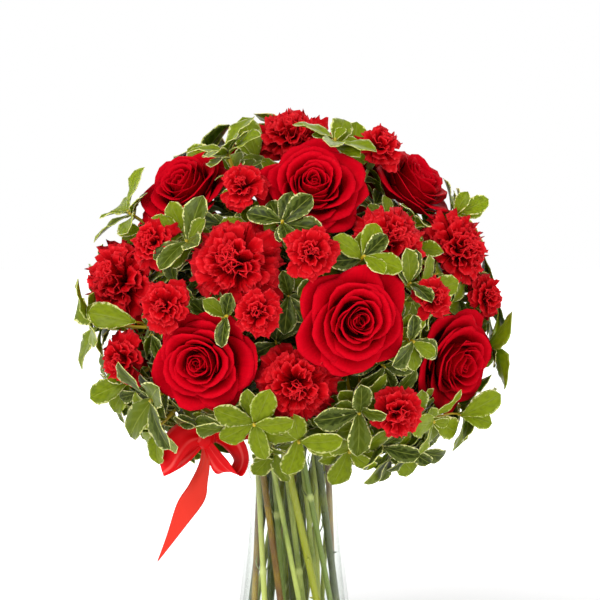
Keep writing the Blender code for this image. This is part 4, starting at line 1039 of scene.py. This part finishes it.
def fineLeaf(tip, along, up, length, roll, pointed, draw, detail="fine"):
    every, form = leafShape, leafShape[pointed]
    rows, columns = leafForm[detail]
    s = np.linspace(0.0, 1.0, rows)[:, None]
    u = np.linspace(-1.0, 1.0, columns)[None, :]
    outline = np.maximum(np.sin(math.pi * s ** form["power"]) ** form["round"], every["foot"] * (1 - s))
    right, left = (np.cos(2 * math.pi * (s - every["crest"]) / long) for long in every["lengths"])
    frills, frill = every["frill"]
    wave = np.where(u > 0, right, -left) * form["wave"]
    start = draw.uniform(*anyPhase)
    shift = every["apart"] * np.sign(u)
    wave = wave + frill * form["wave"] * np.sin(2 * math.pi * frills * s + start + shift)
    waves, depth = every["edge"]
    across = u * outline * (1 + depth * np.sin(2 * math.pi * waves * s + draw.uniform(*anyPhase)))
    height = wave * np.abs(u) ** every["outside"] * np.sin(math.pi * s) ** every["ends"]
    return leafPoints(tip, along, up, length, roll, across, s * form["reach"], height), s, u


def plant(branch, room, leaf, tone, cream):
    room.add(leaf[0])
    branch["leaves"].add(*leaf, tone, cream)


def nearTone(tone, swing, draw):
    return min(1.0, max(0.0, tone + draw.uniform(-swing, swing)))


# Added leaves on the solids' shoots and on thin shoots to the gaps, and the skirt of them at the rim
filler = {"ways": 190, "lowest": -42, "bloomShare": 0.78, "whorlGap": 9, "reach": (0.112, 0.136),
          "shootTiers": (0.46, 0.68, 0.90), "fillTiers": (0.66, 1.0), "crown": 5, "near": 0.045,
          "starts": (0.6, 0.85, 0.4, 0.97), "ahead": 0.03, "pulls": (0.4, 0.35), "inner": 0.104,
          "skirt": -18, "skirtWays": 76, "skirtDrop": 8, "skirtReach": (0.126, 0.150),
          "thread": 0.0011, "taper": 0.7, "steps": 8, "tone": 0.8, "sides": 6,
          "bowFront": ((-0.113, -1.0, 0.100), (-0.034, -0.046, 0.217))}  # kept free, so that the bow shows
sproutForm = {"back": 0.06, "length": (0.025, 0.036), "tries": 10, "swing": 0.6, "tilt": (28, 84),
              "longer": (0.8, 1.1), "shrink": 0.05, "roll": 0.4, "toneSwing": 0.12,
              # inner leaves, deep in the dome, are painted dark as painted shade
              "inner": {"leaves": 4, "tones": (0.0, 0.35), "cream": (0.3, 0.8), "detail": "coarse"},
              "outer": {"leaves": 6, "tones": (0.1, 1.0), "cream": (0.6, 1.0), "detail": "middle"}}

# Sprigs at the rim whose leaves show their upper sides from the front: the root in millimetres, each leaf's
# direction in degrees from level and its length, how light they are and whether they are pointed
sprigs = (
    ((-131, -64, 293), ((172, 44), (150, 30)), 0.75, False),
    ((-122, -72, 300), ((190, 46), (215, 40)), 0.85, False),
    ((-119, -40, 370), ((136, 36), (162, 28), (195, 25)), 0.95, False),
    ((-128, -50, 252), ((200, 36), (232, 34), (170, 24)), 0.60, False),
    ((130, -16, 382), ((24, 27), (-14, 30), (66, 22)), 0.80, False),
    ((148, -16, 292), ((50, 44), (15, 26)), 0.30, True),
    ((146, -22, 280), ((-30, 30), (-66, 28), (6, 26)), 0.75, False),
    ((130, -56, 226), ((26, 36), (-12, 28), (-48, 26)), 0.85, False),
    ((-29, 2, 424), ((97, 40), (118, 36)), 0.60, False),
    ((-52, -6, 412), ((150, 42), (172, 30), (128, 28)), 0.80, False),
    ((44, -8, 420), ((76, 38), (108, 28), (45, 28)), 0.70, False),
    ((108, 8, 370), ((30, 28), (85, 28), (145, 30), (-70, 26)), 0.35, False),
    ((134, 2, 318), ((30, 28), (90, 28), (150, 28), (-70, 26)), 0.30, False),
    ((-90, 26, 324), ((90, 26), (200, 24), (330, 24)), 0.30, False),
    ((-50, 26, 414), ((150, 24), (60, 26)), 0.50, False),
    ((121, 26, 298), ((100, 26), (10, 26), (190, 24)), 0.30, False),
)
sprigForm = {"starts": (0.95, 0.8, 0.65, 0.5, 0.35, 0.2), "above": 0.004, "nearest": 90, "pull": 0.3,
             "bulges": (0.25, 0, 0.5, -0.3), "tries": 30, "swing": 14, "slow": 8, "deep": (-0.35, 0.25),
             "aside": (-0.4, 0.4), "raised": (-0.1, 0.5), "shrink": 0.012, "toneSwing": 0.1,
             "cream": (0.3, 1.0), "pointedCream": 0.1}

# How light the leaves of some whorls are painted, from 0 for painted deep shade to 1 for lit young leaves
whorlPaintedShading = {18: 0.95, 19: 0.35, 20: 0.08, 21: 0.25, 22: 0.12, 23: 0.30}
whorlForm = {"tones": (0.2, 0.95), "toneSwing": 0.15, "cream": (0.4, 1.0), "pointedCream": 0.15,
             "woodTone": 0.4, "shootTone": 0.8, "taper": 0.7}

# Added leaves may pass the solids' box by this share of it
boxShare = 0.02
leafBox = np.array([tuple(corner) for corner in cadBox])
leafBox += np.array([[-boxShare], [boxShare]]) * (leafBox[1] - leafBox[0])


class Room:  # what the added leaves keep clear of: the blooms, the bow and the leaves before them
    def __init__(self, pieces):
        points, faces = [], []
        for piece in pieces:
            first = len(points)
            points += [v.co.copy() for v in piece.data.vertices]
            faces += [[first + i for i in face.vertices] for face in piece.data.polygons]
        self.blooms = BVHTree.FromPolygons(points, faces)
        self.middles, self.leaves = np.zeros((0, 3)), []

    def sheet(self, grid):
        part = grid[::2, ::2]
        rows, columns = part.shape[:2]
        faces = [(i * columns + j, i * columns + j + 1, (i + 1) * columns + j + 1, (i + 1) * columns + j)
                 for i in range(rows - 1) for j in range(columns - 1)]
        return BVHTree.FromPolygons(part.reshape(-1, 3).tolist(), faces)

    def add(self, grid):
        self.middles = np.vstack([self.middles, grid.reshape(-1, 3).mean(axis=0)])
        self.leaves.append(self.sheet(grid))

    def hidesBow(self, points):
        low, high = filler["bowFront"]
        return ((points > low) & (points < high)).all(axis=1).any()

    def takes(self, grid):
        points = grid.reshape(-1, 3)
        if (points.min(axis=0) < leafBox[0]).any() or (points.max(axis=0) > leafBox[1]).any():
            return False
        if self.hidesBow(points):
            return False
        tree = self.sheet(grid)
        if self.blooms.overlap(tree):
            return False
        apart = np.linalg.norm(self.middles - points.mean(axis=0), axis=1)
        return not any(self.leaves[i].overlap(tree) for i in np.nonzero(apart < filler["near"])[0])

    def open(self, line):
        if self.hidesBow(np.array([tuple(point) for point in line])):
            return False
        return not any(self.blooms.ray_cast(a, b - a, (b - a).length)[0] for a, b in zip(line, line[1:]))


def growBranch(name, slot, room):  # the branch, its shoots and the leaves that its solid has
    lean, low, high = branches[name]
    tree = corners(name)
    topWay = facing(lean, branchTop["lift"])
    top = dome["heart"] + topWay * branchTop["reach"]
    points, radii, _ = straightPart(slot, bunch["woody"], "woody", 0)
    ways, off = builtRoute(tree, points[-1], headingOf(slot), top, topWay, bunch["stemShares"])
    missed(off, name)
    curve = pointsOn(ways, stemForm["curveSteps"])[1:]
    branch = {"name": name, "ways": ways, "shoots": [], "wood": Sewing(), "leaves": Sewing()}
    radii = radii + softRadii(len(curve), bunch["woody"], bunch["shoot"])
    branch["wood"].tube(points + curve, radii, whorlForm["woodTone"], stemForm["sides"])
    draw = random.Random(name)
    grown = 0
    for number, (turn, lift, reach, length, count, pointed) in enumerate(whorls):
        if not low < turn <= high:
            continue
        axis = facing(turn, max(lift, leafTries["lowest"]))
        tip = dome["heart"] + facing(turn, lift) * reach
        off, route = builtShoot(tree, ways, tip, axis)
        if missed(off, name, number):
            continue
        branch["shoots"].append(route)
        end = (tip - bezier(*route, bunch["shootShares"][0])).normalized()
        line = pointsOn(route, stemForm["shootSteps"]) + [tip + end * leafForm["step"]]
        radii = [bunch["shoot"]] * stemForm["shootSteps"] + [bunch["shoot"] * whorlForm["taper"]]
        branch["wood"].tube(line, radii, whorlForm["shootTone"], stemForm["thinSides"])
        # the whorls listed above take painted light and shade as their tone; the others draw one at random
        whorlTone = whorlPaintedShading.get(number, draw.uniform(*whorlForm["tones"]))
        for leaf in range(count):
            root = tip - end * leafForm["step"] * leaf
            for choice in leafChoices(number, leaf, count, axis, length):
                marks = [leafPoints(root, *choice, *mark) for mark in leafMarks[pointed]]
                if all(tree.find(tuple(mark))[2] < search["leafNear"] for mark in marks):
                    made = fineLeaf(root, *choice, pointed, draw)
                    tone = nearTone(whorlTone, whorlForm["toneSwing"], draw)
                    cream = whorlForm["pointedCream"] if pointed else draw.uniform(*whorlForm["cream"])
                    plant(branch, room, made, tone, cream)
                    grown += 1
                    break
    print(name, "leaves as in the solid:", grown)
    return branch


def sprout(branch, room, route, share, draw, count=0):  # a ring of added leaves on a shoot
    form = sproutForm
    root = bezier(*route, share)
    ahead = (root - bezier(*route, share - form["back"])).normalized()
    level, rest = squareAxes(ahead)
    kind = form["inner" if (root - dome["heart"]).length < filler["inner"] else "outer"]
    tone, spin, length = draw.uniform(*kind["tones"]), draw.uniform(*anyPhase), draw.uniform(*form["length"])
    count = count or kind["leaves"]
    for k in range(count):
        start = root - ahead * leafForm["step"] * (k + 0.5)
        for attempt in range(form["tries"]):
            angle = spin + 2 * math.pi * k / count + draw.uniform(-form["swing"], form["swing"])
            tilt = math.radians(draw.uniform(*form["tilt"]))
            out = outward(level, rest, angle)
            along = ahead * math.cos(tilt) + out * math.sin(tilt)
            up = ahead * math.sin(tilt) - out * math.cos(tilt)
            long = length * draw.uniform(*form["longer"]) * (1 - form["shrink"] * attempt)
            roll = draw.uniform(-form["roll"], form["roll"])
            made = fineLeaf(start, along, up, long, roll, False, draw, kind["detail"])
            if room.takes(made[0]):
                own = nearTone(tone, form["toneSwing"], draw)
                plant(branch, room, made, own, draw.uniform(*kind["cream"]))
                break


def addTwig(branch, line):
    radii = softRadii(len(line), filler["thread"], filler["thread"] * filler["taper"])
    branch["wood"].tube(line, radii, filler["tone"], filler["sides"])


def wayTo(grown, room, root):  # a free way for a thin shoot, from the nearest shoot that has one
    form = sprigForm
    reach, axis = (root - dome["heart"]).length, (root - dome["heart"]).normalized()
    starts = [(branch, bezier(*route, share)) for branch in grown for route in branch["shoots"]
              for share in form["starts"]]
    starts = [item for item in starts if (item[1] - dome["heart"]).length < reach - form["above"]]
    for branch, start in sorted(starts, key=lambda item: (item[1] - root).length)[:form["nearest"]]:
        span = (root - start).length
        pull = axis * span * form["pull"]
        for bulge in form["bulges"]:
            aside = Vector((0, bulge * span, 0))
            line = pointsOn((start, start + pull + aside, root - pull + aside, root), filler["steps"])
            if room.open(line):
                return branch, line
    return None, []


def sprig(grown, room, root, leaves, tone, pointed):
    form = sprigForm
    root = Vector(root) * millimetre
    draw = random.Random(str(tuple(root)) + "sprig")
    branch, line = wayTo(grown, room, root)
    if not branch:
        print("no way to the sprig at", root)
        return
    axis = (root - dome["heart"]).normalized()
    shown = 0
    for k, (angle, long) in enumerate(leaves):
        for attempt in range(form["tries"]):
            turn = math.radians(angle + draw.uniform(-1, 1) * form["swing"] * attempt / form["slow"])
            along = Vector((math.cos(turn), draw.uniform(*form["deep"]), math.sin(turn))).normalized()
            up = Vector((draw.uniform(*form["aside"]), -1, draw.uniform(*form["raised"])))
            up = (up - along * up.dot(along)).normalized()
            start = root - axis * leafForm["step"] * k
            size = long * millimetre * (1 - form["shrink"] * attempt)
            made = fineLeaf(start, along, up, size, 0.0, pointed, draw)
            if room.takes(made[0]):
                own = tone + draw.uniform(-form["toneSwing"], form["toneSwing"])
                cream = form["pointedCream"] if pointed else draw.uniform(*form["cream"])
                plant(branch, room, made, own, cream)
                shown += 1
                break
    if shown:
        addTwig(branch, line)
    print("sprig:", [round(v * metre) for v in root], "leaves", shown, "of", len(leaves))


def spareWays(count, least, most, gap):  # directions, evenly spread, that no bloom or whorl fills
    taken = [(facing(turn, lift), math.asin(radius / reach) * filler["bloomShare"])
             for turn, lift, reach, radius, _, _ in blooms.values()]
    taken += [(facing(turn, lift), math.radians(gap)) for turn, lift, *_ in whorls]
    low, high = math.sin(math.radians(least)), math.sin(math.radians(most))
    for k in range(count):
        lift = math.degrees(math.asin(high - (high - low) * (k + 0.5) / count))
        turn = (math.degrees(k * golden) + 180) % 360 - 180
        if all(facing(turn, lift).angle(way) > angle for way, angle in taken):
            yield turn, lift


def fillBranch(branch, room, ways):  # leaves along the solid's shoots, and thin shoots to the gaps
    draw = random.Random(branch["name"] + "fill")
    _, low, high = branches[branch["name"]]
    near, far = filler["pulls"]
    for route in branch["shoots"]:
        for share in filler["shootTiers"]:
            sprout(branch, room, route, share, draw)
        sprout(branch, room, route, 1.0, draw, filler["crown"])
    for turn, lift in ways:
        if not low < turn <= high:
            continue
        axis = facing(turn, lift)
        reach = filler["skirtReach" if lift < filler["skirt"] else "reach"]
        tip = dome["heart"] + axis * draw.uniform(*reach)
        for share in filler["starts"]:
            start = bezier(*branch["ways"], share)
            span = (tip - start).length
            along = (bezier(*branch["ways"], share + filler["ahead"]) - start).normalized()
            heading = (along + axis).normalized()
            route = (start, start + heading * span * near, tip - axis * span * far, tip)
            line = pointsOn(route, filler["steps"])
            if room.open(line):
                addTwig(branch, line)
                for tier in filler["fillTiers"]:
                    sprout(branch, room, route, tier, draw)
                break


def dressBranch(branch):
    name = branch["name"]
    dress(branch["wood"].make(name + "_wood", finishes["woody"]), "green_stem", name)
    leaves = branch["leaves"].make(name + "_leaves", finishes["leaf"], leafForm["thickness"])
    dress(leaves, "variegated_leaf", name)


# The ribbon

ribbonForm = {"thickness": 0.0005, "bandRadius": 0.0355, "bandLow": 0.2055, "bandHigh": 0.2125,
              "bandSteps": 22, "bandEnd": 3, "fine": 8, "columns": 9, "gather": 0.014,
              "crease": (2.5, 0.0011),
              "width": 0.022, "shown": 0.62}  # its flat width, and the share left where it is folded and cut
knotForm = {"place": Vector((-0.069, -0.046, 0.207)), "radii": (0.0085, 0.0080, 0.0080), "rows": 13,
            "columns": 40, "folds": (9.0, 0.6, 0.05), "waist": 0.10, "cap": 0.85, "tall": 0.9,
            "turn": 78, "axis": Vector((0.5, -0.8, 0.1)), "run": 0.01}
ribbonTones = {"band": 0.5, "left": 0.5, "right": 0.6, "tail": 0.3, "knot": 0.5}

# Middle points in millimetres, the direction across the ribbon, and half its width there
ribbonRuns = {
    "left": (((-70, -47, 210), (-0.1, 0.2, 1.0), 5), ((-81, -53, 211), (-0.1, 0.1, 1.0), 11.5),
             ((-91, -56, 204), (-0.3, 0.1, 0.95), 13), ((-99, -54, 193), (-0.45, 0.1, 0.85), 12),
             ((-104, -49, 185), (-0.3, 0.0, 0.95), 8), ((-98, -44, 188), (-0.3, 0.0, 0.95), 9),
             ((-86, -42, 196), (-0.3, 0.1, 0.9), 9.5), ((-71, -45, 206), (-0.2, 0.2, 0.9), 5)),
    "right": (((-69, -47, 210), (0.1, -0.6, 0.8), 5), ((-57, -50, 211), (0.2, -0.5, 0.85), 10),
              ((-46, -52, 203), (0.45, -0.6, 0.6), 11), ((-41, -52, 191), (0.6, -0.75, 0.2), 10),
              ((-46, -52, 181), (0.5, -0.75, -0.2), 9.5), ((-57, -53, 186), (0.5, -0.5, 0.65), 9),
              ((-69, -49, 204), (0.4, -0.5, 0.75), 5)),
    "tail": (((-69, -45, 203), (0.5, -0.8, 0.1), 5), ((-70, -43, 187), (0.6, -0.75, 0.1), 7),
             ((-75, -42, 171), (0.9, -0.4, 0.2), 8.5), ((-81, -43, 156), (0.97, -0.1, 0.1), 11),
             ((-92, -45, 134), (0.85, -0.1, 0.45), 9), ((-106.5, -47, 110), (0.7, 0.0, 0.6), 1.0))}


def smoothRows(rows, fine):  # a smooth curve through the rows of numbers
    rows = np.array(rows, float)
    padded = np.vstack([2 * rows[0] - rows[1], rows, 2 * rows[-1] - rows[-2]])
    made = []
    for i in range(len(rows) - 1):
        a, b, c, d = padded[i:i + 4]
        for t in np.linspace(0, 1, fine, endpoint=False):
            made.append(0.5 * (2 * b + (c - a) * t + (2 * a - 5 * b + 4 * c - d) * t * t
                               + (3 * b - a - 3 * c + d) * t ** 3))
    made.append(rows[-1])
    return np.array(made)


def ribbonStrip(sewing, rows, tone, gathered=True):  # the tail is gathered only where it starts
    form = ribbonForm
    rows = [[*middle, *(np.array(way) / np.linalg.norm(way) * half)] for middle, way, half in rows]
    stations = smoothRows(rows, form["fine"])
    middle, half = stations[:, None, :3] * millimetre, stations[:, None, 3:] * millimetre
    u = np.linspace(-1.0, 1.0, form["columns"])[None, :, None]
    run = np.concatenate([[0.0], np.cumsum(np.linalg.norm(np.diff(middle[:, 0], axis=0), axis=1))])
    ahead = np.gradient(middle[:, 0], axis=0)
    normal = np.cross(ahead, half[:, 0])
    normal /= np.linalg.norm(normal, axis=1)[:, None]
    gather = np.exp(-run / form["gather"])[:, None]
    gather = gather + np.exp(-(run[-1] - run) / form["gather"])[:, None] * gathered
    creases, depth = form["crease"]
    crease = np.cos(u[..., 0] * math.pi * creases) * depth * gather
    grid = middle + half * u + normal[:, None, :] * crease[..., None]
    sewing.add(grid, run[:, None], u[..., 0], tone)
    return run[-1]


def bandRows():  # round the stems from the knot and back to it, in millimetres
    form, knot = ribbonForm, knotForm["place"]
    middle = (form["bandLow"] + form["bandHigh"]) / 2
    tall = (form["bandHigh"] - form["bandLow"]) / 2 * metre
    bearing = math.atan2(knot.y, knot.x)
    opening = math.acos(form["bandRadius"] / math.hypot(knot.x, knot.y))
    sideways = Vector((-math.sin(bearing), math.cos(bearing), 0)) * form["bandEnd"]
    atKnot = Vector((knot.x, knot.y, middle)) * metre
    arc = [Vector((form["bandRadius"] * math.cos(a), form["bandRadius"] * math.sin(a), middle)) * metre
           for a in np.linspace(bearing + opening, bearing + 2 * math.pi - opening, form["bandSteps"])]
    return [(tuple(p), (0, 0, 1), tall) for p in [atKnot + sideways, *arc, atKnot - sideways]]


def makeKnot():  # a gathered wrap of the same ribbon
    form = knotForm
    v = np.linspace(-1.0, 1.0, form["rows"])[:, None]
    a = np.linspace(0, 2 * math.pi, form["columns"], endpoint=False)[None, :]
    folds, sway, depth = form["folds"]
    fold = 1 + depth * np.cos(v * folds + sway * np.sin(a)) - form["waist"] * v * v
    cap = np.sqrt(1 - (v * form["cap"]) ** 2)
    ring = [np.cos(a) * fold * form["radii"][0] * cap, np.sin(a) * fold * form["radii"][1] * cap,
            v * form["radii"][2] * form["tall"] + 0 * a]
    spread = Matrix.Rotation(math.radians(form["turn"]), 3, form["axis"])
    grid = np.stack(ring, axis=-1) @ np.array(spread).T + np.array(form["place"])
    wrap = Sewing()
    wrap.add(grid, v * form["run"], v, ribbonTones["knot"], closed=True)
    dress(wrap.make("ribbon_knot", finishes["ribbon"]), "satin_ribbon")


def makeRibbon():
    sewing = Sewing()
    lengths = [ribbonStrip(sewing, bandRows(), ribbonTones["band"])]
    lengths += [ribbonStrip(sewing, rows, ribbonTones[key], key != "tail")
                for key, rows in ribbonRuns.items()]
    print("ribbon length:", round(sum(lengths), 3))
    piece = sewing.make("ribbon_bow", finishes["ribbon"], ribbonForm["thickness"])
    dress(piece, "satin_ribbon", "ribbon")
    makeKnot()
    return piece, sum(lengths)


# Studio

studio = {"lens": 127.5, "sensor": 36.0, "camera": (0.0048, -1.6959, 0.4306), "target": (0.0048, 0.0, 0.312),
          "middle": (0.0, 0.0, 0.30), "horizon": 1.0, "ceiling": 0.42, "rise": (0.22, 0.55)}

# Each lamp: its place, size and power
lamps = {"key_light": ((-0.9, -1.3, 1.5), 0.9, 26.0), "fill_light": ((1.4, -1.0, 0.8), 1.2, 7.0),
         "back_light": ((0.4, 1.4, 1.3), 1.0, 9.0)}


def stand(made, place, target):
    made.location = place
    made.rotation_euler = (Vector(target) - made.location).to_track_quat("-Z", "Y").to_euler()
    bpy.context.scene.collection.objects.link(made)


def softLight(name, place, size, power):
    lamp = bpy.data.lights.new(name, "AREA")
    lamp.shape = "SQUARE"
    lamp.size = size
    lamp.energy = power
    stand(bpy.data.objects.new(name, lamp), place, studio["middle"])


def studioWorld():  # white low down and behind, dimmer overhead, so that folds keep their shade
    board = Board(bpy.data.worlds.new("studio"), "Background")
    place = board.node("ShaderNodeTexCoord", out="Generated")
    height = board.node("ShaderNodeSeparateXYZ", None, {0: place}, out="Z")
    dimming = height.between(*studio["rise"]) * (studio["ceiling"] - studio["horizon"])
    return board.finish(Color=(1.0, 1.0, 1.0), Strength=dimming + studio["horizon"])


def makeStudio():
    scene = bpy.context.scene
    scene.view_settings.view_transform = "Standard"
    eye = bpy.data.cameras.new("camera")
    eye.lens = studio["lens"]
    eye.sensor_width = studio["sensor"]
    scene.camera = bpy.data.objects.new("camera", eye)
    stand(scene.camera, studio["camera"], studio["target"])
    for name, lamp in lamps.items():
        softLight(name, *lamp)
    scene.world = studioWorld()
    bpy.ops.mesh.primitive_plane_add(size=floorForm["size"], location=(0, 0, -floorForm["drop"]))
    floor = bpy.context.object
    floor.name = "floor"
    floor.data.materials.append(floorFinish())


makeStudio()
print("studio ready")
glass = makeVase()
makeWater()
print("vase and water ready")
heads = [makeRose(bloom) if bloom.startswith("rose") else makeCarnation(bloom) for bloom in blooms]
print("blooms ready:", len(heads))
plan = stemPlan()
for bloom in blooms:
    if not bloom.startswith("spray"):
        makeFlowerStem(bloom, plan[bloom])
for spray in sprays:
    makeSprayStem(spray, plan[spray])
print("stems ready")
bow, bowLength = makeRibbon()
print("ribbon ready")
room = Room([glass, bow, *heads])
grownBranches = [growBranch(branch, plan[branch], room) for branch in branches]
spare = list(spareWays(filler["ways"], filler["lowest"], 90, filler["whorlGap"]))
spare += list(spareWays(filler["skirtWays"], filler["lowest"] - filler["skirtDrop"], filler["skirt"],
                        filler["whorlGap"] / 2))
for root, leaves, tone, pointed in sprigs:
    sprig(grownBranches, room, root, leaves, tone, pointed)
for branch in grownBranches:
    fillBranch(branch, room, spare)
    dressBranch(branch)
print("greenery ready:", len(room.leaves), "leaves,", len(spare), "gaps between blooms")

bpy.context.view_layer.update()
